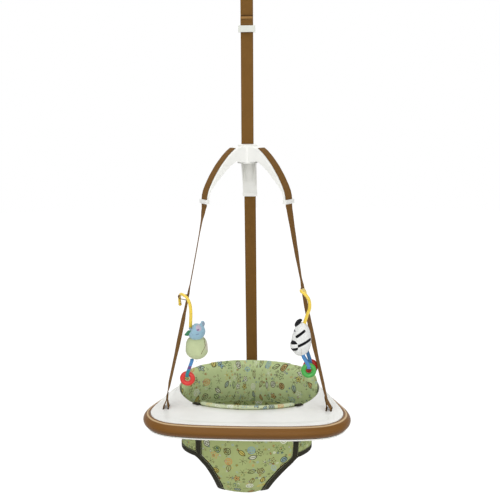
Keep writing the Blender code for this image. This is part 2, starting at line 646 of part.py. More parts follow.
def make_spring_unit(look):
    """Upper cap with ears, coil spring, gathered sleeve, safety tether, lower cap and webbing ring."""
    ear_inner = HANGER_SHANK_DEPTH / 2 + RUNNING_GAP
    ear_outer = ear_inner + CAP_EAR_THICKNESS
    cap_low = CAP_TOP_Z - CAP_THICKNESS
    spring_top = cap_low - SPRING_WIRE_RADIUS - GAP
    coil_length = SPRING_PITCH * SPRING_CURLS
    low_cap_top = spring_top - coil_length - SPRING_WIRE_RADIUS - GAP
    low_cap_low = low_cap_top - CAP_THICKNESS
    profile = [
        (SPIGOT_RADIUS, cap_low - SPIGOT_LENGTH), (SPIGOT_RADIUS, cap_low), (CAP_RADIUS, cap_low),
        (CAP_RADIUS, CAP_TOP_Z - CAP_THICKNESS * 0.2), (CAP_RADIUS * 0.88, CAP_TOP_Z),
    ]
    cap = turned("spring_cap_top", profile, (0, 0, 0), (0, 0, 1), look.white)
    width = CAP_EAR_WIDTH / 2
    crest = CAP_PIN_Z + width
    outline = [
        (-width, CAP_TOP_Z - CAP_THICKNESS / 2), (width, CAP_TOP_Z - CAP_THICKNESS / 2),
        (width, CAP_PIN_Z),
    ]
    outline += [
        (width * 0.6, crest - width * 0.2), (0, crest), (-width * 0.6, crest - width * 0.2),
        (-width, CAP_PIN_Z),
    ]
    ears = [prism("cap_ear_rear", outline, ear_inner, ear_outer, "Y", look.white)]
    ears.append(prism("cap_ear_front", outline, -ear_outer, -ear_inner, "Y", look.white))
    combine(cap, ears, "UNION")
    reach = ear_outer + OVERRUN
    hole = disc_outline((0, CAP_PIN_Z), CAP_PIN_RADIUS + GAP)
    combine(cap, [prism("cap_pin_bore", hole, -reach, reach, "Y", look.white)], "DIFFERENCE")
    headed_pin("spring_cap_pin", (0, 0, CAP_PIN_Z), (0, 1, 0), CAP_PIN_RADIUS, ear_outer, look.steel)
    lead = SPRING_WIRE_RADIUS / 2
    turns = helix((0, 0, spring_top), False, SPRING_COIL_RADIUS, SPRING_PITCH, SPRING_CURLS, lead, lead)
    tube("bounce_spring", turns, SPRING_WIRE_RADIUS, look.steel, sides=5)
    print(
        "least gap in bounce_spring",
        round(least_coil_gap(turns[1:-1], CURL_POINTS, SPRING_WIRE_RADIUS), 5),
    )

    sleeve_top = cap_low - GAP
    sleeve_low = low_cap_top + GAP
    bore = (SPRING_COIL_RADIUS + SPRING_WIRE_RADIUS + 2 * GAP) / math.cos(math.pi / SLEEVE_SIDES)
    steps = SLEEVE_GATHERS * 3
    profile = [(bore, sleeve_low)]
    for i in range(steps + 1):
        swell = SLEEVE_GATHER_DEPTH * (0.5 - 0.5 * math.cos(math.tau * SLEEVE_GATHERS * i / steps))
        profile.append((bore + SLEEVE_WALL + swell, sleeve_low + (sleeve_top - sleeve_low) * i / steps))
    profile.append((bore, sleeve_top))
    turned_ring("spring_sleeve", profile, look.webbing, SLEEVE_SIDES)

    top = cap_low - SPIGOT_LENGTH - GAP - TETHER_RADIUS
    low = low_cap_top + SPIGOT_LENGTH + GAP + TETHER_RADIUS
    places = []
    count = TETHER_BENDS * 8
    for i in range(count + 1):
        share = i / count
        sway = TETHER_SWAY * math.sin(math.tau * TETHER_BENDS * share) * math.sin(math.pi * share)
        places.append(Vector((sway, 0, top + TETHER_RADIUS + (low - top - 2 * TETHER_RADIUS) * share)))
    tube("safety_tether", places, TETHER_RADIUS, look.webbing, sides=6)

    profile = [
        (CAP_RADIUS * 0.88, low_cap_low), (CAP_RADIUS, low_cap_low + CAP_THICKNESS * 0.2),
        (CAP_RADIUS, low_cap_top),
        (SPIGOT_RADIUS, low_cap_top), (SPIGOT_RADIUS, low_cap_top + SPIGOT_LENGTH),
    ]
    low_cap = turned("spring_cap_bottom", profile, (0, 0, 0), (0, 0, 1), look.white)
    lug_z = low_cap_low - LUG_DROP
    eye_z = lug_z + LUG_HALF_DEPTH
    depth = LUG_HALF_DEPTH
    outline = [
        (-depth, low_cap_low + CAP_THICKNESS / 2), (-depth, eye_z), (-depth * 0.6, lug_z),
        (depth * 0.6, lug_z),
    ]
    outline += [(depth, eye_z), (depth, low_cap_low + CAP_THICKNESS / 2)]
    combine(low_cap, [prism("cap_lug", outline, -LUG_HALF_WIDTH, LUG_HALF_WIDTH, "X", look.white)], "UNION")
    reach = LUG_HALF_WIDTH + OVERRUN
    hole = disc_outline((0, eye_z), RING_WIRE_RADIUS + RUNNING_GAP)
    combine(low_cap, [prism("cap_eye", hole, -reach, reach, "X", look.white)], "DIFFERENCE")
    half, corner = RING_HALF_WIDTH, RING_CORNER
    flat = LUG_HALF_WIDTH + corner * 0.4
    corners = [
        (0, eye_z), (flat, eye_z), (half * 0.6, eye_z - corner * 0.7), (half, eye_z - corner * 2.2),
        (half, RING_BAR_Z + corner), (half - corner * 0.3, RING_BAR_Z + corner * 0.3),
        (half - corner, RING_BAR_Z), (0, RING_BAR_Z),
    ]
    mirrored = [(-x, z) for x, z in corners[-2:0:-1]]
    loop = [Vector((x, 0, z)) for x, z in corners + mirrored]
    tube("strap_ring", loop, RING_WIRE_RADIUS, look.steel, closed=True, sides=8, first_side=Vector((0, 1, 0)))


def turned_ring(name, profile, material, sides):
    """A profile turned about the Z axis with no cap, so that its own ends meet in a bore."""
    rings = []
    for k in range(sides):
        turn = math.tau * k / sides
        rings.append([Vector((r * math.cos(turn), r * math.sin(turn), z)) for r, z in profile])
    return loft(name, rings, material, closed=True)


def arc(centre, radius, start, stop, steps):
    """Points in the YZ plane round a centre, by angle from +Y towards +Z."""
    found = []
    for i in range(steps + 1):
        turn = math.radians(start + (stop - start) * i / steps)
        found.append(Vector((0, centre[0] + radius * math.cos(turn), centre[1] + radius * math.sin(turn))))
    return found


def make_main_strap(look):
    """The long webbing in two nodes that part at the ring: the ply to the crown and the ply to the buckle."""
    across = Vector((1, 0, 0))
    wrap = RING_WIRE_RADIUS + GAP + WEBBING_THICKNESS / 2
    ring = (0, RING_BAR_Z)
    bar_z = CROWN_TOP_Z - MAIN_BAR_DROP
    bar_wrap = CROWN_BAR_RADIUS + GAP + WEBBING_THICKNESS / 2
    settle = RING_BAR_Z - wrap * 6
    main = arc(ring, wrap, 84, 0, 6)
    main += [
        Vector((0, MAIN_PLY_Y, settle)), Vector((0, MAIN_PLY_Y, BUCKLE_TOP_Z)),
        Vector((0, MAIN_PLY_Y, BUCKLE_TOP_Z - BUCKLE_HEIGHT)),
    ]
    main += [Vector((0, bar_wrap, BUCKLE_TOP_Z - BUCKLE_HEIGHT * 4)), Vector((0, bar_wrap, CROWN_TOP_Z))]
    main += arc((0, bar_z), bar_wrap, 0, -250, 12)
    strap("main_strap", main, across, WEBBING_WIDTH, WEBBING_THICKNESS, look.webbing)
    bar_centre_z = BUCKLE_TOP_Z - BUCKLE_HEIGHT / 2
    under = BUCKLE_BAR_RADIUS + GAP + WEBBING_THICKNESS / 2
    back = arc(ring, wrap, 96, 180, 6)
    back += [Vector((0, RETURN_PLY_Y, FOLD_TOP_Z)), Vector((0, RETURN_PLY_Y, bar_centre_z))]
    back += arc((BUCKLE_BAR_Y, bar_centre_z), under, -15, -165, 6)
    back += [Vector((0, FOLD_PLY_Y, BUCKLE_TOP_Z)), Vector((0, FOLD_PLY_Y, FOLD_TOP_Z))]
    strap("main_strap_return", back, across, WEBBING_WIDTH, WEBBING_THICKNESS, look.webbing)


def make_buckle(look):
    """The adjuster: front plate, two sides, a bar that the return ply is sewn round, two rear keepers."""
    half = BUCKLE_WIDTH / 2
    inner = WEBBING_WIDTH / 2 + WEBBING_SLOT_CLEARANCE
    top, low = BUCKLE_TOP_Z, BUCKLE_TOP_Z - BUCKLE_HEIGHT
    buckle = block(
        "height_buckle", (-half, BUCKLE_FRONT_Y, low), (half, BUCKLE_FRONT_Y + BUCKLE_PLATE, top),
        look.white,
    )
    pieces = []
    for label, x_low, x_high in (("left", -half, -inner), ("right", inner, half)):
        pieces.append(block(
            f"buckle_{label}", (x_low, BUCKLE_FRONT_Y + BUCKLE_PLATE / 2, low),
            (x_high, BUCKLE_BACK_Y, top), look.white,
        ))
    for label, z in (("upper", top - BUCKLE_KEEPER), ("lower", low)):
        corner = (-half + OVERRUN, BUCKLE_BACK_Y - BUCKLE_PLATE, z)
        pieces.append(block(
            f"buckle_{label}", corner, (half - OVERRUN, BUCKLE_BACK_Y, z + BUCKLE_KEEPER), look.white,
        ))
    middle = (BUCKLE_BAR_Y, (top + low) / 2)
    pieces.append(prism(
        "buckle_bar", disc_outline(middle, BUCKLE_BAR_RADIUS, 10), -half + OVERRUN, half - OVERRUN, "X",
        look.white,
    ))
    combine(buckle, pieces, "UNION")


def crown_place(angle, reach, z, offset=0.0):
    """A point at a reach along an arm, a height and an offset across the arm."""
    outward = Vector((math.cos(angle), math.sin(angle), 0))
    across = Vector((-math.sin(angle), math.cos(angle), 0))
    return outward * reach + across * offset + UP * z


def crown_curve():
    """The strap's middle line over an arm, as reach and height pairs."""
    return [(CROWN_REACH * a, CROWN_TOP_Z - CROWN_DROP * b) for a, b in CROWN_TOP_SHARES]


def arm_width(reach):
    share = reach / CROWN_REACH
    return CROWN_ARM_ROOT_WIDTH * (1 - share) + CROWN_ARM_TIP_WIDTH * share


def arm_sections(angle, skin):
    """Channel sections of an arm, open below and closed towards its tip."""
    curve = [Vector((r, 0, z)) for r, z in crown_curve()]
    last = len(curve) - 1
    rings = []
    for i, (point, tangent, (reach, drop)) in enumerate(zip(curve, directions(curve), CROWN_UNDER_SHARES)):
        normal = Vector((-tangent.z, 0, tangent.x))
        top = point - normal * skin
        under = Vector((CROWN_REACH * reach, 0, CROWN_TOP_Z - CROWN_DROP * drop))
        shoulder = top + (under - top).normalized() * CROWN_EDGE_BEVEL
        ceiling = top - normal * CROWN_WALL if i < last - 1 else top.lerp(under, CHANNEL_END_SHARE)
        wall = CROWN_WALL
        corners = [
            (under, 0), (shoulder, 0), (top, CROWN_EDGE_BEVEL), (top, CROWN_EDGE_BEVEL), (shoulder, 0),
            (under, 0),
        ]
        corners += [(under, wall), (ceiling, wall), (ceiling, wall), (under, wall)]
        sides = (-1, -1, -1, 1, 1, 1, 1, 1, -1, -1)
        ring = []
        for (place, inset), side in zip(corners, sides):
            ring.append(crown_place(angle, place.x, place.z, side * (arm_width(place.x) / 2 - inset)))
        rings.append(ring)
    return rings


def arm_strap_route(angle):
    """The strap's middle line from its bar, out of the slot, over the arm and down through the keeper."""
    bar = (ARM_BAR_REACH, CROWN_TOP_Z - ARM_BAR_DROP)
    wrap = CROWN_BAR_RADIUS + GAP + WEBBING_THICKNESS / 2
    route = []
    for i in range(10):
        turn = math.radians(115 + 245 * (1 - i / 9))
        route.append((bar[0] + wrap * math.cos(turn), bar[1] + wrap * math.sin(turn)))
    route += crown_curve()[CROWN_SLOT_INDEX + 1:]
    tip_z = CROWN_TOP_Z - CROWN_DROP
    route += [(CROWN_REACH, tip_z), (CROWN_REACH, tip_z - KEEPER_HEIGHT)]
    return [crown_place(angle, r, z) for r, z in route]


def webbing_cutter(name, points, across, material):
    wide = WEBBING_WIDTH + 2 * WEBBING_SLOT_CLEARANCE
    return strap(name, points, across, wide, WEBBING_THICKNESS + 2 * GAP, material)


def make_crown(look):
    """Hub and three channel arms in one moulding, its steel bars, and the passages that the webbing takes."""
    skin = WEBBING_THICKNESS / 2 + GAP
    top = CROWN_TOP_Z
    low = CROWN_TOP_Z - CROWN_HUB_HEIGHT
    bevel = CROWN_HUB_BEVEL
    inside = CROWN_HUB_RADIUS - CROWN_WALL
    profile = [
        (inside, top - CROWN_WALL), (inside, low), (CROWN_HUB_RADIUS, low), (CROWN_HUB_RADIUS, top - bevel),
        (CROWN_HUB_RADIUS - bevel * 0.3, top - bevel * 0.3), (CROWN_HUB_RADIUS - bevel, top),
    ]
    shell = turned("crown_shell", profile, (0, 0, 0), (0, 0, 1), look.white, 32)
    arms, cutters = [], []
    tip_z = CROWN_TOP_Z - CROWN_DROP
    for label, angle in CROWN_ARM_ANGLES.items():
        sections = arm_sections(angle, skin)
        arms.append(loft(f"crown_arm_{label}", sections, look.white))
        for side in (-1, 1):
            rings = []
            for ring in sections[3:-3]:
                across = (ring[7] - ring[8]).normalized()
                roof = (ring[2] + ring[3] + ring[7] + ring[8]) / 4
                foot = roof.lerp((ring[6] + ring[9]) / 2, 0.5)
                near = across * (side * CROWN_RIB_OFFSET - CROWN_RIB_THICKNESS / 2)
                far = across * (side * CROWN_RIB_OFFSET + CROWN_RIB_THICKNESS / 2)
                rings.append([foot + near, roof + near, roof + far, foot + far])
            arms.append(loft(f"crown_rib_{label}_{side}", rings, look.white))
        half = CROWN_ARM_TIP_WIDTH / 2 + KEEPER_FLARE
        low, high = tip_z - KEEPER_HEIGHT / 2, tip_z + KEEPER_HEIGHT / 2
        back, front = CROWN_REACH - KEEPER_BACK, CROWN_REACH + skin + KEEPER_WALL
        corners = ((back, -half), (front, -half), (front, half), (back, half))
        rings = [[crown_place(angle, r, z, t) for r, t in corners] for z in (low, high)]
        arms.append(loft(f"crown_keeper_{label}", rings, look.white))
        across = Vector((-math.sin(angle), math.cos(angle), 0))
        cutters.append(webbing_cutter(f"crown_slot_{label}", arm_strap_route(angle), across, look.white))
        half_bar = arm_width(ARM_BAR_REACH) / 2 - CROWN_WALL - GAP
        ends = [crown_place(
            angle, ARM_BAR_REACH, CROWN_TOP_Z - ARM_BAR_DROP, t,
        ) for t in (-half_bar, half_bar)]
        tube(f"crown_bar_{label}", ends, CROWN_BAR_RADIUS, look.steel, sides=10)
    combine(shell, arms, "UNION")
    bar_z = CROWN_TOP_Z - MAIN_BAR_DROP
    ply_y = CROWN_BAR_RADIUS + GAP + WEBBING_THICKNESS / 2
    reach = WEBBING_THICKNESS / 2 + WEBBING_SLOT_CLEARANCE
    slot_low = CROWN_TOP_Z - CROWN_WALL * 2
    corners = [(ply_y - reach, slot_low), (ply_y + reach, slot_low)]
    corners += [(ply_y + reach, CROWN_TOP_Z + OVERRUN), (ply_y - reach, CROWN_TOP_Z + OVERRUN)]
    inner = WEBBING_WIDTH / 2 + WEBBING_SLOT_CLEARANCE
    cutters.append(prism("crown_main_slot", corners, -inner, inner, "X", look.white))
    combine(shell, cutters, "DIFFERENCE")
    half_bar = CROWN_HUB_RADIUS - CROWN_WALL - GAP
    ends = [Vector((-half_bar, 0, bar_z)), Vector((half_bar, 0, bar_z))]
    tube("crown_bar_main", ends, CROWN_BAR_RADIUS, look.steel, sides=10)


def tray_outline():
    """The bumper's outermost line, as reach from the opening's centre for each evenly spaced angle."""
    half = []
    for width, depth in zip(TRAY_OUTLINE_WIDTH_SHARES, TRAY_OUTLINE_DEPTH_SHARES):
        half.append((TRAY_HALF_WIDTH * width, TRAY_FRONT_Y + (TRAY_REAR_Y - TRAY_FRONT_Y) * depth, 0))
    whole = half + [(-x, y, z) for x, y, z in half[-2:0:-1]]
    dense = smooth_route(whole, 12, closed=True)
    polar = []
    for point in dense:
        x, y = point.x, point.y - TRAY_CENTRE_Y
        polar.append((math.atan2(x, -y) % math.tau, math.hypot(x, y)))
    polar.sort()
    found = []
    for k in range(TRAY_STATIONS):
        angle = math.tau * k / TRAY_STATIONS
        after = next((i for i, p in enumerate(polar) if p[0] >= angle), 0)
        a, b = polar[after - 1], polar[after]
        span = (b[0] - a[0]) % math.tau
        share = ((angle - a[0]) % math.tau) / span if span else 0
        reach = a[1] + (b[1] - a[1]) * share
        found.append(Vector((reach * math.sin(angle), TRAY_CENTRE_Y - reach * math.cos(angle), 0)))
    return found


def outline_offset(outline, inset):
    """The outline moved inwards by an inset along its own normals."""
    along = directions(outline, closed=True)
    return [p + Vector((-t.y, t.x, 0)) * inset for p, t in zip(outline, along)]


def opening_point(angle, clearance=0.0):
    """A point of the seat opening's rim; angle 0 is the front and a quarter turn the child's left, +X."""
    x = (OPENING_HALF_WIDTH - clearance) * math.sin(angle)
    y = TRAY_CENTRE_Y - (OPENING_HALF_DEPTH - clearance) * math.cos(angle)
    return Vector((x, y, 0))


def opening_polar(angle, clearance=0.0):
    """The rim's point that lies in the same direction from the centre as a tray station."""
    a, b = OPENING_HALF_WIDTH - clearance, OPENING_HALF_DEPTH - clearance
    reach = 1 / math.hypot(math.sin(angle) / a, math.cos(angle) / b)
    return Vector((reach * math.sin(angle), TRAY_CENTRE_Y - reach * math.cos(angle), 0))


def collar_height(angle):
    turn = min(angle % math.tau, math.tau - angle % math.tau)
    return COLLAR_HEIGHT * smoothstep((turn - COLLAR_START) / (COLLAR_FULL - COLLAR_START))


def deck_height(angle, share):
    """The deck's top face between the opening's rim, share 0, and the bumper, share 1."""
    ramp = collar_height(angle) * (1 - smoothstep(share / COLLAR_RAMP_SHARE))
    return DECK_Z + ramp


def make_tray(look):
    """Top shell with its collar, bottom plate, wrap-round bumper and the screws that join them."""
    outline = tray_outline()
    edge = outline_offset(outline, BUMPER_WIDTH)
    rings = []
    for k, out in enumerate(edge):
        angle = math.tau * k / TRAY_STATIONS
        rim = opening_polar(angle, -RIM_CLEARANCE)
        span = out - rim
        wall = span.normalized() * DECK_THICKNESS
        top = [rim + span * s + UP * deck_height(angle, s) for s in DECK_SHARES]
        under = [rim + span * s + UP * (deck_height(angle, s) - DECK_THICKNESS) for s in DECK_SHARES[2:]]
        section = top + [
            out + UP * (DECK_Z - TRAY_LIP_RADIUS), out + UP * TRAY_SKIRT_Z, out - wall + UP * TRAY_SKIRT_Z,
        ]
        section += under[::-1] + [rim + wall + UP * (deck_height(angle, 0) - DECK_THICKNESS)]
        section += [rim + wall + UP * TRAY_SKIRT_Z, rim + UP * TRAY_SKIRT_Z]
        rings.append(section)
    shell = loft("tray_top_shell", rings, look.white, closed=True)
    rings = []
    for out, line in zip(outline, directions(outline, closed=True)):
        inward = Vector((-line.y, line.x, 0)).normalized()
        ring = []
        for width, height in BUMPER_SHARES:
            n = width * (BUMPER_WIDTH - GAP)
            ring.append(out - inward * n + UP * (BUMPER_MIDDLE_Z + BUMPER_HALF_HEIGHT * height))
        rings.append(ring)
    loft("bumper", rings, look.bumper, closed=True)
    plate_top = BUMPER_MIDDLE_Z - BUMPER_HALF_HEIGHT - 2 * GAP
    plate_low = plate_top - BOTTOM_PLATE_THICKNESS
    rings = []
    for k, out in enumerate(outline_offset(outline, BOTTOM_PLATE_INSET)):
        rim = opening_polar(math.tau * k / TRAY_STATIONS, -RIM_CLEARANCE)
        rings.append([rim + UP * plate_low, out + UP * plate_low, out + UP * plate_top, rim + UP * plate_top])
    plate = loft("tray_bottom_plate", rings, look.white, closed=True)
    bosses, bores = [], []
    for i in range(SCREW_COUNT):
        station = round((i + 0.5) * TRAY_STATIONS / SCREW_COUNT) % TRAY_STATIONS
        angle = math.tau * station / TRAY_STATIONS
        place = opening_polar(angle).lerp(edge[station], SCREW_BOSS_SHARE)
        deck = deck_height(angle, SCREW_BOSS_SHARE)
        at = (place.x, place.y)
        boss_low = TRAY_SKIRT_Z + GAP
        bosses.append(prism(
            f"boss_{i}", disc_outline(at, SCREW_BOSS_RADIUS, 12), boss_low, deck - DECK_THICKNESS / 2, "Z",
            look.white,
        ))
        hole = disc_outline(at, SCREW_SHANK_RADIUS + GAP, 10)
        bores.append(prism(
            f"screw_bore_{i}", hole, plate_low - OVERRUN, plate_top + SCREW_DEPTH, "Z", look.white,
        ))
        head_low = plate_low - GAP - SCREW_HEAD_HEIGHT
        profile = [
            (SCREW_HEAD_RADIUS * 0.7, head_low), (SCREW_HEAD_RADIUS, head_low + SCREW_HEAD_HEIGHT * 0.5),
            (SCREW_HEAD_RADIUS, plate_low - GAP), (SCREW_SHANK_RADIUS, plate_low - GAP),
            (SCREW_SHANK_RADIUS, plate_top + SCREW_DEPTH - GAP * 2),
        ]
        turned(f"tray_screw_{i + 1}", profile, place, (0, 0, 1), look.steel, 10)
    combine(shell, bosses, "UNION")
    slots = []
    for label, place, outward in anchor_places():
        across = Vector((-outward.y, outward.x, 0))
        for side in (-1, 1):
            middle = place + outward * side * ANCHOR_LEG_SPACING / 2
            corners = []
            for a, b in ((-1, -1), (1, -1), (1, 1), (-1, 1)):
                along = across * b * ANCHOR_SLOT_LENGTH / 2
                corners.append(middle + outward * a * ANCHOR_SLOT_WIDTH / 2 + along)
            depth = ANCHOR_SLOT_DEPTH
            lift = COLLAR_HEIGHT
            slots.append(loft(
                f"slot_{label}_{side}",
                [[p + UP * -depth for p in corners], [p + UP * lift for p in corners]], look.white
            ))
    combine(shell, bores + slots, "DIFFERENCE")
    combine(plate, bores, "DIFFERENCE")


def anchor_deck_z(place):
    """The deck's height under a point of the tray."""
    angle = math.atan2(place.x, -(place.y - TRAY_CENTRE_Y)) % math.tau
    outline = outline_offset(tray_outline(), BUMPER_WIDTH)
    out = outline[round(angle / math.tau * TRAY_STATIONS) % TRAY_STATIONS]
    rim = opening_polar(angle)
    share = (Vector((place.x, place.y, 0)) - rim).length / (out - rim).length
    return deck_height(angle, share)


def anchor_places():
    """Where each strap is held on the tray, and the direction outwards there."""
    found = []
    for label, x, y in (
        ("left", -SIDE_ANCHOR_X, SIDE_ANCHOR_Y), ("right", SIDE_ANCHOR_X, SIDE_ANCHOR_Y),
        ("rear", 0, REAR_ANCHOR_Y),
    ):
        place = Vector((x, y, 0))
        place.z = anchor_deck_z(place)
        outward = Vector((x, y, 0)).normalized()
        found.append((label, place, outward))
    return found


def tray_strap_route(angle, place, outward):
    """From the crown's bar to the tray: over the arm, down to the seam, down one leg and up the other."""
    route = arm_strap_route(angle)
    arm_across = Vector((-math.sin(angle), math.cos(angle), 0))
    tray_across = Vector((-outward.y, outward.x, 0))
    widths = [arm_across] * len(route)
    start = route[-1]
    seam_top = place + UP * (ANCHOR_SPLIT_HEIGHT + ANCHOR_SEAM_LENGTH)
    split = place + UP * ANCHOR_SPLIT_HEIGHT
    steps = 10
    for i in range(1, steps + 1):
        share = i / steps
        route.append(start.lerp(seam_top, share))
        widths.append(arm_across.lerp(tray_across, smoothstep(share)))
    half = ANCHOR_LEG_SPACING / 2
    ply = WEBBING_THICKNESS + 2 * GAP
    legs = [split, place + outward * half + UP * DECK_THICKNESS]
    bottom = -(DECK_THICKNESS + GAP * 2 + WEBBING_THICKNESS / 2)
    round_off = WEBBING_THICKNESS
    legs += [
        place + outward * half + UP * (bottom + round_off),
        place + outward * (half - round_off) + UP * bottom,
    ]
    legs += [
        place - outward * (half - round_off) + UP * bottom,
        place - outward * half + UP * (bottom + round_off),
    ]
    legs += [place - outward * half + UP * DECK_THICKNESS, split - outward * ply - UP * ply * 2]
    legs.append(seam_top - outward * ply)
    route += legs
    widths += [tray_across] * len(legs)
    return route, widths


def make_tray_straps(look):
    angles = CROWN_ARM_ANGLES
    for label, place, outward in anchor_places():
        route, widths = tray_strap_route(angles[label], place, outward)
        name = "rear_strap" if label == "rear" else f"side_strap_{label}"
        strap(name, route, widths, WEBBING_WIDTH, WEBBING_THICKNESS, look.webbing)


def seat_point(x, turn, z=None, clearance=0.0):
    """A point of the hanging seat: front wall, the bowl below it by turn from 0 to pi, and rear wall."""
    half_width = OPENING_HALF_WIDTH - CLOTH_THICKNESS / 2 - GAP - clearance
    half_depth = OPENING_HALF_DEPTH - CLOTH_THICKNESS / 2 - GAP - clearance
    pinch = math.sqrt(max(0.0, 1 - (x / half_width) ** 2))
    y = TRAY_CENTRE_Y - half_depth * pinch * math.cos(turn)
    height = SEAT_BOWL_Z - (SEAT_BOWL_HEIGHT - clearance) * pinch * math.sin(turn)
    return Vector((x, y, height if z is None else z))


def thick_sheet(name, grid, thickness, material):
    """A closed solid round a grid of points, half its thickness to each side."""
    rows, columns = len(grid), len(grid[0])
    normals = []
    for i in range(rows):
        line = []
        for j in range(columns):
            down = grid[min(i + 1, rows - 1)][j] - grid[max(i - 1, 0)][j]
            across = grid[i][min(j + 1, columns - 1)] - grid[i][max(j - 1, 0)]
            line.append(down.cross(across).normalized() * (thickness / 2))
        normals.append(line)
    rings = []
    for i in range(rows):
        front = [grid[i][j] + normals[i][j] for j in range(columns)]
        back = [grid[i][j] - normals[i][j] for j in range(columns)]
        rings.append(front + back[::-1])
    return panel_solid(name, rings, columns, material)


def panel_solid(name, rings, columns, material):
    """Skins panel rings and closes both ends with quads instead of one large face."""
    bm = bmesh.new()
    rows = [[bm.verts.new(p) for p in ring] for ring in rings]
    count = len(rows[0])
    for low, high in zip(rows, rows[1:]):
        for i in range(count):
            j = (i + 1) % count
            bm.faces.new((low[i], low[j], high[j], high[i]))
    for end in (rows[0], rows[-1]):
        for j in range(columns - 1):
            bm.faces.new((end[j], end[j + 1], end[count - 2 - j], end[count - 1 - j]))
    return add_mesh(name, bm, material)


def front_edge(turn):
    """Half width of the front panel, from the tape's foot down to the crotch, without its binding."""
    share = turn / (math.pi / 2)
    return (TAPE_X - TAPE_WIDTH / 2 - GAP) * blend(PANEL_EDGE_SHARES, share)


def rear_edge(turn):
    """Half width of the rear panel, from the crotch up to the foot of the waist band."""
    share = (turn - math.pi / 2) / (math.pi / 2)
    low = front_edge(math.pi / 2)
    return low + (REAR_PANEL_TOP_HALF_WIDTH - low) * blend(REAR_EDGE_SHARES, share)


def make_seat(look):
    """Cloth seat: front panel, rear panel, waist band, tapes, leg bindings, back pad, and front roll."""
    columns = 9
    shares = [-1 + 2 * j / (columns - 1) for j in range(columns)]
    inner = TAPE_X - TAPE_WIDTH / 2 - GAP
    grid = []
    for i in range(3):
        z = SEAT_TOP_Z + (SEAT_BOWL_Z - SEAT_TOP_Z) * i / 3
        grid.append([seat_point(inner * s, 0, z) for s in shares])
    for i in range(11):
        turn = math.pi / 2 * i / 10
        last = -GAP / SEAT_BOWL_HEIGHT if i == 10 else 0
        grid.append([seat_point(front_edge(turn) * s, turn + last) for s in shares])
    thick_sheet("seat_front_panel", grid, CLOTH_THICKNESS, look.cloth)
    grid = []
    for i in range(11):
        turn = math.pi / 2 + math.pi / 2 * i / 10
        first = 2 * GAP / SEAT_BOWL_HEIGHT if i == 0 else 0
        grid.append([seat_point(rear_edge(turn) * s, turn + first) for s in shares])
    top = SEAT_BOWL_Z + BINDING_WIDTH / 2 + GAP
    grid.append([seat_point((REAR_PANEL_TOP_HALF_WIDTH - BINDING_WIDTH) * s, math.pi, top) for s in shares])
    thick_sheet("seat_rear_panel", grid, CLOTH_THICKNESS, look.cloth)

    half_width = OPENING_HALF_WIDTH - CLOTH_THICKNESS / 2 - GAP
    start = math.asin((TAPE_X + TAPE_WIDTH / 2 + GAP) / half_width)
    count = 30
    grid = []
    for i in range(4):
        z = SEAT_TOP_Z + (SEAT_BOWL_Z + BINDING_WIDTH / 2 + GAP * 2 - SEAT_TOP_Z) * i / 3
        row = []
        for j in range(count + 1):
            angle = start + (math.tau - 2 * start) * j / count
            row.append(opening_point(angle, CLOTH_THICKNESS / 2 + GAP) + UP * z)
        grid.append(row)
    thick_sheet("seat_waist_band", grid, CLOTH_THICKNESS, look.cloth)

    for label, side in (("left", -1), ("right", 1)):
        make_tape(label, side, look)
        make_binding(label, side, look)
    make_back_pad(look)
    make_front_roll(look)


def make_tape(label, side, look):
    """A dark tape that stiffens the side of the front panel and tucks over the tray's rim."""
    foot = SEAT_BOWL_Z + BINDING_WIDTH / 2 + 2 * GAP
    top = SEAT_TOP_Z
    at = seat_point(side * TAPE_X, 0, 0)
    before = seat_point(side * (TAPE_X - TAPE_WIDTH / 2), 0, 0)
    after = seat_point(side * (TAPE_X + TAPE_WIDTH / 2), 0, 0)
    across = (after - before).normalized()
    outward = Vector((across.y, -across.x, 0)) * side
    crest = DECK_Z + CLOTH_THICKNESS * TAPE_LIFT
    route = [at + UP * foot, at + UP * (foot + (top - foot) / 2), at + UP * top, at + UP * DECK_Z]
    route += [at + outward * CLOTH_THICKNESS * 0.4 + UP * crest, at + outward * TAPE_TUCK + UP * crest]
    width = (after - before).length - 2 * GAP
    strap(f"seat_tape_{label}", route, across, width, CLOTH_THICKNESS, look.binding)


def make_binding(label, side, look):
    """The dark band round a leg hole, beside the panels' edges and under the waist band."""
    half = BINDING_WIDTH / 2 + BINDING_CLEARANCE
    steps = 20
    edge = []
    for i in range(2 * steps):
        turn = math.pi / 2 * i / steps
        x = front_edge(turn) if turn < math.pi / 2 else rear_edge(turn)
        edge.append(seat_point(side * x, turn))
    edge_count = len(edge)
    half_width = OPENING_HALF_WIDTH - CLOTH_THICKNESS / 2 - GAP
    first = math.asin((TAPE_X + BINDING_WIDTH * 0.3) / half_width)
    last = math.pi - math.asin((REAR_PANEL_TOP_HALF_WIDTH + half) / half_width)
    for i in range(13):
        place = opening_point(last + (first - last) * i / 12, CLOTH_THICKNESS / 2 + GAP)
        edge.append(Vector((side * place.x, place.y, SEAT_BOWL_Z)))
    centre = Vector((side * OPENING_HALF_WIDTH / 2, TRAY_CENTRE_Y, SEAT_BOWL_Z))
    points, across = [], []
    for i, (point, tangent) in enumerate(zip(edge, directions(edge, closed=True))):
        normal = Vector((
            point.x / OPENING_HALF_WIDTH**2, (point.y - TRAY_CENTRE_Y) / OPENING_HALF_DEPTH**2, 0,
        ))
        normal.z = min(0.0, (point.z - SEAT_BOWL_Z) / SEAT_BOWL_HEIGHT**2)
        wide = UP.copy() if i >= edge_count else tangent.cross(normal).normalized()
        if wide.dot(across[-1] if across else point - centre) < 0:
            wide = -wide
        across.append(wide)
        points.append(point - wide * half if i < edge_count else point)
    strap(f"leg_binding_{label}", points, across, BINDING_WIDTH, BINDING_THICKNESS, look.binding, closed=True)


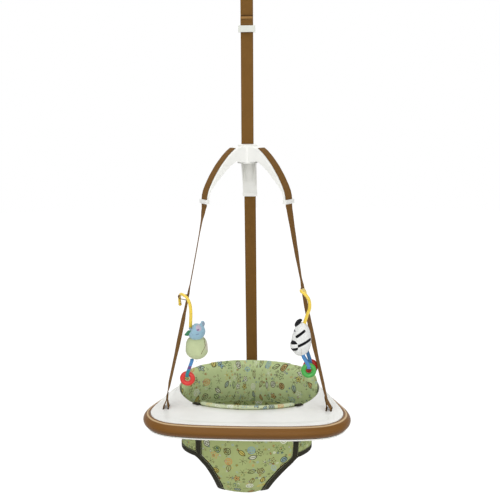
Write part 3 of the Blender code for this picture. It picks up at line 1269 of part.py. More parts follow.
def make_back_pad(look):
    """The padded back: crowned between drawn-in edges, against the collar and the waist band."""
    columns, rows = 27, 8
    clear = CLOTH_THICKNESS + PAD_CLEARANCE
    outer, inner = [], []
    for i in range(rows):
        v = i / (rows - 1)
        out_row, in_row = [], []
        for j in range(columns):
            u = -1 + 2 * j / (columns - 1)
            angle = math.pi + PAD_SPREAD * u
            end = abs(u)
            rise = math.cos(u * math.pi / 2) ** 0.5 if end < 1 else 0
            top = PAD_SIDE_TOP_Z + (PAD_REAR_TOP_Z - PAD_SIDE_TOP_Z) * rise
            round_off = (PAD_SIDE_TOP_Z - PAD_BOTTOM_Z) * 0.22 * max(0.0, (end - 0.9) / 0.1) ** 2
            low = PAD_BOTTOM_Z + round_off
            z = low + (top - round_off - low) * v
            crown = (1 - abs(2 * v - 1) ** 3) * (1 - end**8)
            thick = PAD_EDGE_THICKNESS + (PAD_FULL_THICKNESS - PAD_EDGE_THICKNESS) * crown
            out_row.append(opening_point(angle, clear) + UP * z)
            in_row.append(opening_point(angle, clear + thick) + UP * z)
        outer.append(out_row)
        inner.append(in_row)
    rings = [o + i[::-1] for o, i in zip(outer, inner)]
    panel_solid("seat_back_pad", rings, columns, look.cloth)


def make_front_roll(look):
    """The pale rolled hem on the front rim."""
    count = 14
    places = []
    limit = math.asin((TAPE_X - TAPE_WIDTH / 2 - GAP * 4) / OPENING_HALF_WIDTH)
    for i in range(count + 1):
        angle = -limit + 2 * limit * i / count
        places.append(opening_point(angle, -ROLL_RADIUS * 0.2) + UP * (DECK_Z + ROLL_RADIUS + GAP))
    tube("seat_front_roll", places, ROLL_RADIUS, look.pale_cloth)


def egg(name, centre, size, material, taper=0.0, segments=16, rings=10, lean=0.0):
    """A stuffed shape: an ellipsoid that narrows towards its top by the taper and leans along X."""
    bm = bmesh.new()
    bmesh.ops.create_uvsphere(bm, u_segments=segments, v_segments=rings, radius=0.5)
    for vert in bm.verts:
        height = vert.co.z * 2
        squeeze = 1 - taper * height
        vert.co.x = vert.co.x * size[0] * squeeze + lean * height * size[0]
        vert.co.y = vert.co.y * size[1] * squeeze
        vert.co.z = vert.co.z * size[2]
        vert.co += Vector(centre)
    return add_mesh(name, bm, material)


def larger_copy(item, name, centre, gap):
    """A cutter of the same form, a small gap larger all round."""
    bm = bmesh.new()
    bm.from_mesh(item.data)
    middle = Vector(centre)
    for vert in bm.verts:
        away = vert.co - middle
        vert.co += away.normalized() * gap
    return add_mesh(name, bm, item.data.materials[0])


def ring_toy(name, centre, material):
    """A teething ring that faces the viewer."""
    middle = Vector(centre)
    points = []
    for k in range(20):
        turn = math.tau * k / 20
        points.append(middle + Vector((math.cos(turn), 0, math.sin(turn))) * RING_MAJOR_RADIUS)
    return tube(name, points, RING_MINOR_RADIUS, material, closed=True, sides=8, first_side=Vector((0, 1, 0)))


def ring_loop(name, ring_centre, top, swell, material):
    """A flat loop through a ring, up into a seam in the toy's underside; swell enlarges it as a cutter."""
    middle = Vector(ring_centre) + UP * RING_MAJOR_RADIUS
    wrap = RING_MINOR_RADIUS + RING_LOOP_CLEARANCE + LOOP_THICKNESS / 2
    points = []
    for i in range(9):
        turn = math.pi + math.pi * i / 8
        points.append(middle + Vector((0, wrap * math.cos(turn), wrap * math.sin(turn))))
    top = Vector(top)
    crest = wrap * 0.45
    for i in range(7):
        turn = math.pi * i / 6
        points.append(Vector((top.x, top.y + crest * math.cos(turn), top.z - crest + crest * math.sin(turn))))
    return strap(
        name, points, Vector((1, 0, 0)), LOOP_WIDTH + swell, LOOP_THICKNESS + swell, material, closed=True,
    )


def toy_hook(name, route, material):
    """A cane-shaped hook with a ball tip that passes through the tab on the strap."""
    points = smooth_route(route, 3)
    hook = tube(name, points, HOOK_RADIUS, material)
    tip = bmesh.new()
    bmesh.ops.create_uvsphere(tip, u_segments=12, v_segments=8, radius=HOOK_BALL_RADIUS)
    bmesh.ops.translate(tip, verts=tip.verts, vec=points[-1])
    combine(hook, [add_mesh(f"{name}_tip", tip, material)], "UNION")
    return hook


def hook_socket(name, route, material):
    """A cutter for the hole in a stuffed toy that the foot of its hook is sewn into."""
    points = smooth_route(route, 3)[:8]
    points[0] = points[0] + (points[0] - points[1]).normalized() * GAP * 2
    return tube(name, points, HOOK_RADIUS + GAP, material)


def strap_place(label, z):
    """The middle of a side strap at a height below the crown, its width direction and its upward one."""
    for name, place, outward in anchor_places():
        if name == label:
            route, widths = tray_strap_route(CROWN_ARM_ANGLES[label], place, outward)
            for a, b, wide in zip(route, route[1:], widths):
                if a.z >= z > b.z and a.z < CROWN_TOP_Z - CROWN_DROP:
                    return a.lerp(b, (a.z - z) / (a.z - b.z)), wide, (a - b).normalized()
    raise ValueError(label)


def strap_tab(name, label, hook, material):
    """A short webbing loop sewn to one face of a side strap, round the hook."""
    hook = Vector(hook)
    place, wide, upward = strap_place(label, hook.z)
    outward = wide.cross(upward).normalized()
    if outward.x > 0:
        outward = -outward
    face = (place - hook).dot(outward)
    root = hook + outward * (face + WEBBING_THICKNESS + GAP * 2)
    wrap = HOOK_RADIUS + TAB_DEPTH_CLEARANCE + WEBBING_THICKNESS / 2
    points = []
    for i in range(9):
        turn = -math.pi / 2 + math.pi * i / 8
        points.append(hook + outward * wrap * math.cos(turn) + upward * wrap * math.sin(turn))
    points += [root + upward * wrap * 1.3, root, root - upward * wrap * 1.3]
    return strap(name, points, wide, TAB_WIDTH, WEBBING_THICKNESS, material, closed=True)


def make_toys(look):
    toy_hook("left_hook", LEFT_HOOK_ROUTE, look.yellow)
    toy_hook("right_hook", RIGHT_HOOK_ROUTE, look.yellow)
    strap_tab("left_strap_tab", "left", LEFT_HOOK_ROUTE[LEFT_TAB_POINT], look.webbing)
    strap_tab("right_strap_tab", "right", RIGHT_HOOK_ROUTE[RIGHT_TAB_POINT], look.webbing)

    body = egg("left_toy_body", LEFT_TOY_CENTRE, LEFT_TOY_SIZE, look.toy_green, LEFT_TOY_TAPER)
    head = egg("left_toy_head", LEFT_HEAD_CENTRE, LEFT_HEAD_SIZE, look.toy_blue, taper=-0.10)
    x, y, z = LEFT_HEAD_CENTRE
    ears = []
    for side in (-1, 1):
        place = (
            x + side * LEFT_HEAD_SIZE[0] * 0.34, y + LEFT_HEAD_SIZE[1] * 0.10,
            z + LEFT_HEAD_SIZE[2] * 0.46,
        )
        size = (LEFT_HEAD_SIZE[0] * 0.28, LEFT_HEAD_SIZE[1] * 0.18, LEFT_HEAD_SIZE[2] * 0.40)
        ear = egg(f"left_ear_{side}", place, size, look.toy_blue, segments=12, rings=8)
        ears.append(ear)
    combine(head, ears, "UNION")
    combine(head, [larger_copy(body, "left_body_cutter", LEFT_TOY_CENTRE, GAP * 2)], "DIFFERENCE")
    hook_cut = hook_socket("left_hook_cut", LEFT_HOOK_ROUTE, look.yellow)
    for node in (body, head):
        combine(node, [hook_cut], "DIFFERENCE")

    body = egg("right_toy_body", RIGHT_TOY_CENTRE, RIGHT_TOY_SIZE, look.toy_white, RIGHT_TOY_TAPER, lean=0.04)
    muzzle = egg(
        "right_toy_muzzle", RIGHT_MUZZLE_CENTRE, RIGHT_MUZZLE_SIZE, look.toy_black, segments=14, rings=10,
    )
    combine(muzzle, [larger_copy(body, "right_body_cutter", RIGHT_TOY_CENTRE, GAP * 2)], "DIFFERENCE")
    x, y, z = RIGHT_TOY_CENTRE
    place = (x - RIGHT_TOY_SIZE[0] * 0.14, y, z + RIGHT_TOY_SIZE[2] * 0.50)
    size = (RIGHT_TOY_SIZE[0] * 0.42, RIGHT_TOY_SIZE[1] * 0.34, RIGHT_TOY_SIZE[2] * 0.20)
    mane = egg("right_toy_mane", place, size, look.toy_black, segments=14, rings=10)
    combine(mane, [larger_copy(body, "right_mane_cutter", RIGHT_TOY_CENTRE, GAP * 2)], "DIFFERENCE")
    hook_cut = hook_socket("right_hook_cut", RIGHT_HOOK_ROUTE, look.yellow)
    for node in (body, mane):
        combine(node, [hook_cut], "DIFFERENCE")

    for name, centre, colour, toy, toy_centre, toy_size, taper, shift in (
        (
            "left_red", LEFT_RING, look.red, "left_toy_body", LEFT_TOY_CENTRE, LEFT_TOY_SIZE,
            LEFT_TOY_TAPER, -0.22,
        ),
        (
            "right_green", GREEN_RING, look.green, "right_toy_body", RIGHT_TOY_CENTRE, RIGHT_TOY_SIZE,
            RIGHT_TOY_TAPER, 0.10,
        ),
        (
            "right_red", RED_RING, look.red, "right_toy_body", RIGHT_TOY_CENTRE, RIGHT_TOY_SIZE,
            RIGHT_TOY_TAPER, 0.30,
        ),
    ):
        ring_toy(f"{name}_ring", centre, colour)
        offset = (toy_size[0] * shift, centre[1] - toy_centre[1])
        top = Vector(toy_centre) + Vector((
            offset[0], offset[1], LOOP_SEAM_DEPTH - toy_underside(toy_size, taper, offset),
        ))
        ring_loop(f"{name}_loop", centre, top, 0, look.blue)
        combine(
            bpy.data.objects[toy], [ring_loop(f"{name}_seam", centre, top, GAP * 2, look.blue)],
            "DIFFERENCE",
        )


def toy_underside(size, taper, offset):
    """How far below a toy's centre its rounded underside lies, at the inner edge of a loop sewn there."""
    near_x = max(0.0, abs(offset[0]) - LOOP_WIDTH / 2)
    near_y = max(0.0, abs(offset[1]) - RING_MINOR_RADIUS)
    spread = 1 + taper
    across = (2 * near_x / (size[0] * spread)) ** 2 + (2 * near_y / (size[1] * spread)) ** 2
    return size[2] / 2 * math.sqrt(max(0.0, 1 - across)) + LOOP_THICKNESS / 2 + GAP


def hang_on(name, place, members):
    """Parents a moving body's nodes to an empty on its joint's axis, and leaves them where they are."""
    pivot = bpy.data.objects.new(name, None)
    bpy.context.scene.collection.objects.link(pivot)
    pivot.location = place
    for member in members:
        item = bpy.data.objects[member]
        item.parent = pivot
        item.matrix_parent_inverse = Matrix.Translation(-Vector(place))


def ring_pivot(centre):
    """Where a ring hangs on its loop."""
    return Vector(centre) + UP * RING_MAJOR_RADIUS


def make_pivots():
    """One empty on each joint's axis, with the nodes that move there."""
    jaw = (0, 0, JAW_PIVOT_Z)
    hang_on("front_jaw_pivot", jaw, ["front_jaw_arm", "front_jaw_pad"])
    hang_on("rear_jaw_pivot", jaw, ["rear_jaw_arm", "rear_jaw_pad"])
    hang_on("swivel_pivot", (0, 0, HANGER_PIN_Z), ["swing_hanger"])
    upper = ["spring_cap_top", "spring_cap_pin", "bounce_spring", "spring_sleeve", "safety_tether"]
    hang_on("spring_top_pivot", (0, 0, CAP_PIN_Z), upper)
    lower = ["spring_cap_bottom", "strap_ring", "main_strap", "main_strap_return"]
    hang_on("spring_bottom_slide", (0, 0, RING_BAR_Z), lower)
    hang_on("buckle_slide", (0, 0, BUCKLE_TOP_Z), ["height_buckle"])
    seat = [f"crown_bar_{label}" for label in ("main", "left", "right", "rear")]
    seat += [
        "crown_shell", "side_strap_left", "side_strap_right", "rear_strap", "left_strap_tab",
        "right_strap_tab",
    ]
    seat += [
        "tray_top_shell", "tray_bottom_plate", "bumper",
    ] + [f"tray_screw_{i + 1}" for i in range(SCREW_COUNT)]
    seat += ["seat_front_panel", "seat_rear_panel", "seat_waist_band", "seat_tape_left", "seat_tape_right"]
    seat += ["leg_binding_left", "leg_binding_right", "seat_back_pad", "seat_front_roll"]
    hang_on("seat_slide", (0, 0, CROWN_TOP_Z), seat)
    left = ["left_hook", "left_toy_body", "left_toy_head", "left_red_loop"]
    hang_on("left_toy_pivot", LEFT_HOOK_ROUTE[LEFT_TAB_POINT], left)
    right = [
        "right_hook", "right_toy_body", "right_toy_muzzle", "right_toy_mane", "right_green_loop",
        "right_red_loop",
    ]
    hang_on("right_toy_pivot", RIGHT_HOOK_ROUTE[RIGHT_TAB_POINT], right)
    hang_on("left_ring_pivot", ring_pivot(LEFT_RING), ["left_red_ring"])
    hang_on("right_front_ring_pivot", ring_pivot(GREEN_RING), ["right_green_ring"])
    hang_on("right_rear_ring_pivot", ring_pivot(RED_RING), ["right_red_ring"])


def main():
    clear_scene()
    look = Finishes()
    make_clamp(look)
    make_hanger(look)
    make_spring_unit(look)
    make_main_strap(look)
    make_buckle(look)
    make_crown(look)
    make_tray(look)
    make_tray_straps(look)
    make_seat(look)
    make_toys(look)
    make_pivots()


main()
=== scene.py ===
"""The looks of a baby doorway jumper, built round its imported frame.

Metres, +Z up. The child faces -Y, and the clamp's jaws rest on the door moulding at Z 0.
"""

import logging
import math
from dataclasses import dataclass
from enum import Enum
from typing import Callable, Dict, List, Optional, Sequence, Tuple

import bmesh
import bpy
from mathutils import Euler, Matrix, Quaternion, Vector, noise


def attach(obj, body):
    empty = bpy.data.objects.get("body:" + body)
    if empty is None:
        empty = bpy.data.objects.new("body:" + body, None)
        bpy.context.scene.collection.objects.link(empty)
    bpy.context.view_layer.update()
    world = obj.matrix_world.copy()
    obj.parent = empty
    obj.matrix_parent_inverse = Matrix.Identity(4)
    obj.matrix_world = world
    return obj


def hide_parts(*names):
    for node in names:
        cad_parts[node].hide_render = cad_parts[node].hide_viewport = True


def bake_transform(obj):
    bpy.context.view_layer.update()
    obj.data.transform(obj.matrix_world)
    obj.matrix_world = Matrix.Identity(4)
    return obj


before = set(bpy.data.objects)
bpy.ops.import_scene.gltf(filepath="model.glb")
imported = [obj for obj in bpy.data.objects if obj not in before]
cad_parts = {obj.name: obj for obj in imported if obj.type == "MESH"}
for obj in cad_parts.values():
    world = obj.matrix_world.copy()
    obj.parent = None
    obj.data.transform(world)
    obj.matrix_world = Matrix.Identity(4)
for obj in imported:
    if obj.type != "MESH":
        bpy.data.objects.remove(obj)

LOG = logging.getLogger("jumper")
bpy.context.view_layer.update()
FRONT = Vector((0, -1, 0))
UP = Vector((0, 0, 1))
RIGHT = Vector((1, 0, 0))
DECK_Z = -1.467
FEET = {"left": (-0.219, -0.085), "right": (0.219, -0.085), "rear": (0.0, 0.191)}
LEG_SPACING = 0.013
MOULDED_CORNER, CARRIED_CORNER = 40.0, 32.0  # degrees above which an edge stays crisp
Pair = Tuple[float, float]
Triple = Tuple[float, float, float]
Colour = Triple
Route = Sequence[Vector]
Piece = bpy.types.Object
Look = bpy.types.Material
Socket = bpy.types.NodeSocket
Tree = bpy.types.NodeTree
Stitch = Tuple[Vector, Vector, Vector]


class Body(Enum):
    """The moving bodies that pieces ride on."""

    SPRING_TOP = "spring_top"
    SPRING_BOTTOM = "spring_bottom"
    BUCKLE = "buckle"
    SEAT = "seat_unit"
    LEFT_TOY = "left_toy"
    RIGHT_TOY = "right_toy"
    LEFT_RING = "left_ring"
    GREEN_RING = "right_front_ring"
    RED_RING = "right_rear_ring"


# Node trees


def feed(tree: Tree, socket: Socket, value: object) -> None:
    """Links or sets one socket.

    Args:
        tree: the socket's tree.
        socket: the input.
        value: an output to link, a shader value, a colour or a plain value.
    """
    value = value.socket if isinstance(value, Val) else value
    if isinstance(value, Socket):
        tree.links.new(value, socket)
    elif socket.type == "RGBA":
        socket.default_value = (*value, 1)
    else:
        socket.default_value = value


def put(tree: Tree, kind: str, settings: Optional[dict] = None,
        values: Optional[dict] = None) -> bpy.types.Node:
    """Adds a node to a tree.

    Args:
        tree: the tree.
        kind: the node's type.
        settings: what is set on the node itself, which comes first.
        values: links and numbers for its sockets, by name or place.

    Returns:
        The node.
    """
    made = tree.nodes.new(kind)
    for key, value in (settings or {}).items():
        setattr(made, key, value)
    for key, value in (values or {}).items():
        feed(tree, made.inputs[key], value)
    return made


class Graph:
    """A Geometry Nodes tree with named inputs."""

    def __init__(self, name: str, *inputs: Tuple[str, str]) -> None:
        """Starts the tree.

        Args:
            name: the tree's name.
            inputs: the label and kind of each input.
        """
        self.tree = bpy.data.node_groups.new(name, "GeometryNodeTree")
        face = self.tree.interface
        self.keys = {label: face.new_socket(label, in_out="INPUT", socket_type=f"NodeSocket{kind}").identifier
                     for label, kind in inputs}
        face.new_socket("Pieces", in_out="OUTPUT", socket_type="NodeSocketGeometry")
        self.given = self.tree.nodes.new("NodeGroupInput").outputs

    def add(self, kind: str, values: Optional[dict] = None, output: "int | str" = 0,
            **settings: str) -> Socket:
        """Adds a node as put() does and gives one of its outputs."""
        return put(self.tree, kind, settings, values).outputs[output]

    def close(self, shape: Socket) -> None:
        """Ends the tree with plain geometry in its finish."""
        real = self.add("GeometryNodeRealizeInstances", {"Geometry": shape})
        dressed = self.add("GeometryNodeSetMaterial", {"Geometry": real, "Material": self.given["Finish"]})
        put(self.tree, "NodeGroupOutput", values={"Pieces": dressed})

    def wear(self, piece: Piece, **values: object) -> Piece:
        """Puts the tree on a piece, with its inputs set."""
        modifier = piece.modifiers.new(self.tree.name, "NODES")
        modifier.node_group = self.tree
        for label, value in values.items():
            modifier[self.keys[label]] = value
        return piece


def operator(operation: str, reflected: bool = False) -> Callable[["Val", "Val | float"], "Val"]:
    """A sum or comparison of two shader values.

    Args:
        operation: what the Math node does.
        reflected: whether the other value comes first.

    Returns:
        The method that adds the node.
    """
    def joined(self: "Val", other: "Val | float") -> "Val":
        """One Math node of both values."""
        return self.shader.math(operation, *((other, self) if reflected else (self, other)))

    return joined


class Val:
    """A shader value that can be used in sums and comparisons."""

    __add__ = __radd__ = operator("ADD")
    __sub__, __rsub__ = operator("SUBTRACT"), operator("SUBTRACT", True)
    __mul__ = __rmul__ = operator("MULTIPLY")
    __truediv__ = operator("DIVIDE")
    __lt__, __gt__ = operator("LESS_THAN"), operator("GREATER_THAN")
    least, most = operator("MINIMUM"), operator("MAXIMUM")

    def __init__(self, shader: "Shader", socket: Socket) -> None:
        """Keeps the socket and the shader that it belongs to."""
        self.shader = shader
        self.socket = socket

    def __abs__(self) -> "Val":
        """Size without sign."""
        return self.shader.math("ABSOLUTE", self)

    def wave(self, pitch: float) -> "Val":
        """A sine of this value, from -1 to 1, once every pitch."""
        return self.shader.math("SINE", self * (math.tau / pitch))

    def step(self, low: float, high: float) -> "Val":
        """A smooth step from 0 at low to 1 at high."""
        names = {"Value": self, "From Min": low, "From Max": high}
        return self.shader.node("ShaderNodeMapRange", {"interpolation_type": "SMOOTHSTEP"}, names)


class Shader:
    """One Principled material under construction."""

    def __init__(self, name: str) -> None:
        """Starts a node material of that name."""
        self.material = bpy.data.materials.new(name)
        self.material.use_nodes = True
        self.tree = self.material.node_tree
        self.bsdf = self.tree.nodes["Principled BSDF"]

    def node(self, kind: str, settings: Optional[dict] = None, values: Optional[dict] = None,
             output: "int | str" = 0) -> Val:
        """Adds a node as put() does and gives one of its outputs."""
        return Val(self, put(self.tree, kind, settings, values).outputs[output])

    def bands(self, value: Val, stops: Sequence[Tuple[float, Colour]]) -> Val:
        """A colour picked by a value from a row of plain bands.

        Args:
            value: what picks the band.
            stops: where each band starts, and its colour.

        Returns:
            The colour.
        """
        made = self.node("ShaderNodeValToRGB", values={0: value})
        ramp = made.socket.node.color_ramp
        ramp.interpolation = "CONSTANT"
        for end in (-1, 0):
            ramp.elements[end].position, ramp.elements[end].color = stops[end][0], (*stops[end][1], 1)
        for place, colour in stops[1:-1]:
            ramp.elements.new(place).color = (*colour, 1)
        return made

    def math(self, operation: str, *values: "Val | float") -> Val:
        """One Math node."""
        return self.node("ShaderNodeMath", {"operation": operation}, dict(enumerate(values)))

    def coords(self, output: str) -> Val:
        """Object coordinates or the piece's own UV map."""
        return self.node("ShaderNodeTexCoord", output=output)

    def split(self, vector: Val) -> Tuple[Val, ...]:
        """The three parts of a vector."""
        made = put(self.tree, "ShaderNodeSeparateXYZ", values={0: vector})
        return tuple(Val(self, socket) for socket in made.outputs)

    def scaled(self, vector: Val, amount: float, shift: Triple) -> Val:
        """A vector moved and then made larger."""
        moved = self.node("ShaderNodeVectorMath", {"operation": "ADD"}, {0: vector, 1: shift})
        return self.node("ShaderNodeVectorMath", {"operation": "SCALE"}, {0: moved, "Scale": amount})

    def noise(self, vector: Val, scale: float, detail: float = 2.0, rough: float = 0.5) -> Val:
        """Soft noise from 0 to 1."""
        names = {"Vector": vector, "Scale": scale, "Detail": detail, "Roughness": rough}
        return self.node("ShaderNodeTexNoise", values=names)

    def mix(self, share: "Val | float", first: "Val | Colour", second: "Val | Colour") -> Val:
        """A colour between two."""
        return self.node("ShaderNodeMix", {"data_type": "RGBA"}, {0: share, 6: first, 7: second}, 2)

    def finish(self, colour: "Val | Colour", roughness: "Val | float", height: Val, depth: float,
               strength: float, gleam: float = 0.5, **plain: float) -> Look:
        """Wires the results to the shader.

        Args:
            colour: base colour.
            roughness: roughness.
            height: what the bump follows, from 0 to 1.
            depth: the bump's height in metres.
            strength: how much of the bump shows.
            gleam: the specular level, low for cloth.
            plain: other sockets, with spaces written as underscores.

        Returns:
            The material.
        """
        bump = self.node("ShaderNodeBump", values={"Strength": strength, "Distance": depth, "Height": height})
        values = {"Base Color": colour, "Roughness": roughness, "Specular IOR Level": gleam, "Normal": bump}
        values.update({key.replace("_", " "): value for key, value in plain.items()})
        for key, value in values.items():
            feed(self.tree, self.bsdf.inputs[key], value)
        return self.material


# Finishes


def toned(colour: Colour, amount: float) -> Colour:
    """A colour made darker or paler."""
    return tuple(min(1.0, part * amount) for part in colour)


@dataclass(frozen=True)
class Finish:
    """A finish with one main colour."""

    name: str
    colour: Colour


@dataclass(frozen=True)
class Moulding(Finish):
    """Moulded plastic with a fine spark-eroded grain and soft wear marks."""

    roughness: float = 0.36
    grain: float = 900.0
    mottle: float = 0.04
    coat: float = 0.0

    def build(self) -> Look:
        """The material."""
        shader = Shader(self.name)
        at = shader.coords("Object")
        broad = shader.noise(at, 14.0, 3.0)
        fine = shader.noise(at, self.grain, 1.0)
        marks = shader.noise(at, 120.0, 4.0, 0.7).step(0.60, 0.78)
        dull, light = toned(self.colour, 1 - self.mottle * 2), toned(self.colour, 1 + self.mottle)
        colour = shader.mix(marks * 0.35, shader.mix(broad, dull, light), dull)
        rough = broad * 0.10 + marks * 0.10 + (self.roughness - 0.05)
        return shader.finish(colour, rough, fine * 0.7 + marks * 0.3, depth=0.000025, strength=0.5,
                             Coat_Weight=self.coat)


@dataclass(frozen=True)
class Cushioned(Finish):
    """The soft brown bumper: painted shade at its joint under the deck and on its lower face, a painted highlight
    line on its shoulder, a satin skin and small scuffs.
    """

    # pale: the colour of the painted highlight line on the shoulder, which the scuffs also lighten towards
    pale: Colour
    highlight_girth: float = 0.0112

    def build(self) -> Look:
        """The material."""
        shader = Shader(self.name)
        at = shader.coords("Object")
        girth = shader.split(shader.coords("UV"))[0]
        fine = shader.noise(at, 700.0, 2.0)
        scuff = shader.noise(at, 90.0, 5.0, 0.75).step(0.62, 0.80)
        # painted highlight: a pale line along the bumper's shoulder
        line = 1 - abs(girth - self.highlight_girth).step(0.0014, 0.0032)
        # painted shade: darker in the joint under the deck's lip and on the bumper's lower face
        joint_shade = 1 - girth.step(0.0025, 0.0050)
        underside_shade = girth.step(0.030, 0.037)
        broad = shader.noise(at, 9.0, 2.0)
        ground = shader.mix(broad, toned(self.colour, 0.9), toned(self.colour, 1.08))
        shaded = shader.mix(joint_shade * 0.55 + underside_shade * 0.35, ground, toned(self.colour, 0.35))
        # the painted highlight line and the scuffs both mix towards the pale colour
        colour = shader.mix(scuff * 0.12 + line * (0.74 + broad * 0.20), shaded, self.pale)
        relief = fine * 0.25 + line * 0.3 + scuff * 0.1
        return shader.finish(colour, 0.40 + scuff * 0.15 + broad * 0.06, relief, depth=0.0004,
                             strength=0.5, gleam=0.2)


@dataclass(frozen=True)
class Metal(Finish):
    """Zinc-plated or painted steel with drawn lines and spangle."""

    metallic: float
    roughness: float

    def build(self) -> Look:
        """The material."""
        shader = Shader(self.name)
        at = shader.coords("Object")
        spangle = shader.noise(at, 260.0, 3.0, 0.6)
        drawn = shader.noise(shader.node("ShaderNodeMapping", values={0: at, 3: (1.0, 1.0, 0.06)}), 1500.0, 2.0)
        wear = shader.noise(at, 60.0, 4.0, 0.7).step(0.62, 0.74)
        colour = shader.mix(spangle * 0.5 + wear * 0.3, self.colour, toned(self.colour, 0.8))
        rough = spangle * 0.12 + wear * 0.12 + self.roughness
        return shader.finish(colour, rough, drawn * 0.6 + spangle * 0.4, depth=0.00005, strength=0.5,
                             Metallic=self.metallic)


@dataclass(frozen=True)
class Rubber(Finish):
    """Matt moulded rubber with a crossed grip pattern."""

    def build(self) -> Look:
        """The material."""
        shader = Shader(self.name)
        at = shader.coords("Object")
        x, _, z = shader.split(at)
        ridges = (x + z).wave(0.005).most((x - z).wave(0.005)).step(0.2, 0.9)
        dust = shader.noise(at, 80.0, 4.0, 0.7)
        colour = shader.mix(dust * 0.5 * (1 - ridges), self.colour, toned(self.colour, 2.2))
        return shader.finish(colour, 0.72 + dust * 0.15, ridges * 0.8 + dust * 0.2, depth=0.0006, strength=0.7)


@dataclass(frozen=True)
class Webbing(Finish):
    """Woven strap: herringbone ribs across, firmer selvedges, slight fading along the length."""

    width: float = 0.0324
    rib: float = 0.0022
    selvedge: float = 0.0022
    gleam: float = 0.12

    def build(self) -> Look:
        """The material."""
        shader = Shader(self.name)
        at = shader.coords("UV")
        across, along, _ = shader.split(at)
        fold = abs(across.wave(self.width / 2)) * (self.width / 10)
        ribs = (along + fold).wave(self.rib) * 0.5 + 0.5
        yarns = across.wave(self.rib * 0.8) * 0.5 + 0.5
        weave = ribs * 0.7 + yarns * 0.3
        edge = abs(across).step(self.width / 2 - self.selvedge, self.width / 2)
        fade = shader.noise(at, 26.0, 4.0, 0.6)
        fibre = shader.noise(at, 2600.0, 2.0)
        deep, pale = toned(self.colour, 0.66), toned(self.colour, 1.22)
        tone = weave * 0.55 + fade * 0.35 + fibre * 0.15 - edge * 0.25
        relief = weave * 0.75 + fibre * 0.25 + edge * 0.4
        return shader.finish(shader.mix(tone, deep, pale), 0.72 + fibre * 0.15, relief, depth=0.0004, strength=0.75,
                             gleam=self.gleam)


@dataclass(frozen=True)
class PlainCloth(Finish):
    """Plain-woven or brushed cloth with a fine thread and soft shading."""

    thread: float = 0.0009
    mottle: float = 0.12
    fuzz: float = 0.0
    sheen: float = 0.15

    def build(self) -> Look:
        """The material."""
        shader = Shader(self.name)
        colour, height = self.ground(shader, self.colour)
        return shader.finish(colour, 0.88, height, depth=0.0004, strength=0.6, gleam=0.15, Sheen_Weight=self.sheen)

    def ground(self, shader: Shader, colour: Colour) -> Tuple[Val, Val]:
        """The cloth's own colour and relief.

        Args:
            shader: the shader to add to.
            colour: the ground colour.

        Returns:
            Colour and height.
        """
        at = shader.coords("Object")
        x, y, z = shader.split(at)
        threads = ((x + y * 0.7).wave(self.thread) * 0.5 + 0.5) * (z.wave(self.thread) * 0.5 + 0.5)
        cloud = shader.noise(at, 30.0, 4.0, 0.6)
        nap = shader.noise(at, 1700.0, 3.0, 0.7)
        deep, pale = toned(colour, 1 - self.mottle), toned(colour, 1 + self.mottle)
        tone = cloud * 0.6 + nap * (0.25 + self.fuzz) + threads * (0.2 - self.fuzz * 0.2) - 0.05
        return shader.mix(tone, deep, pale), threads * (1 - self.fuzz) * 0.6 + nap * (0.35 + self.fuzz)


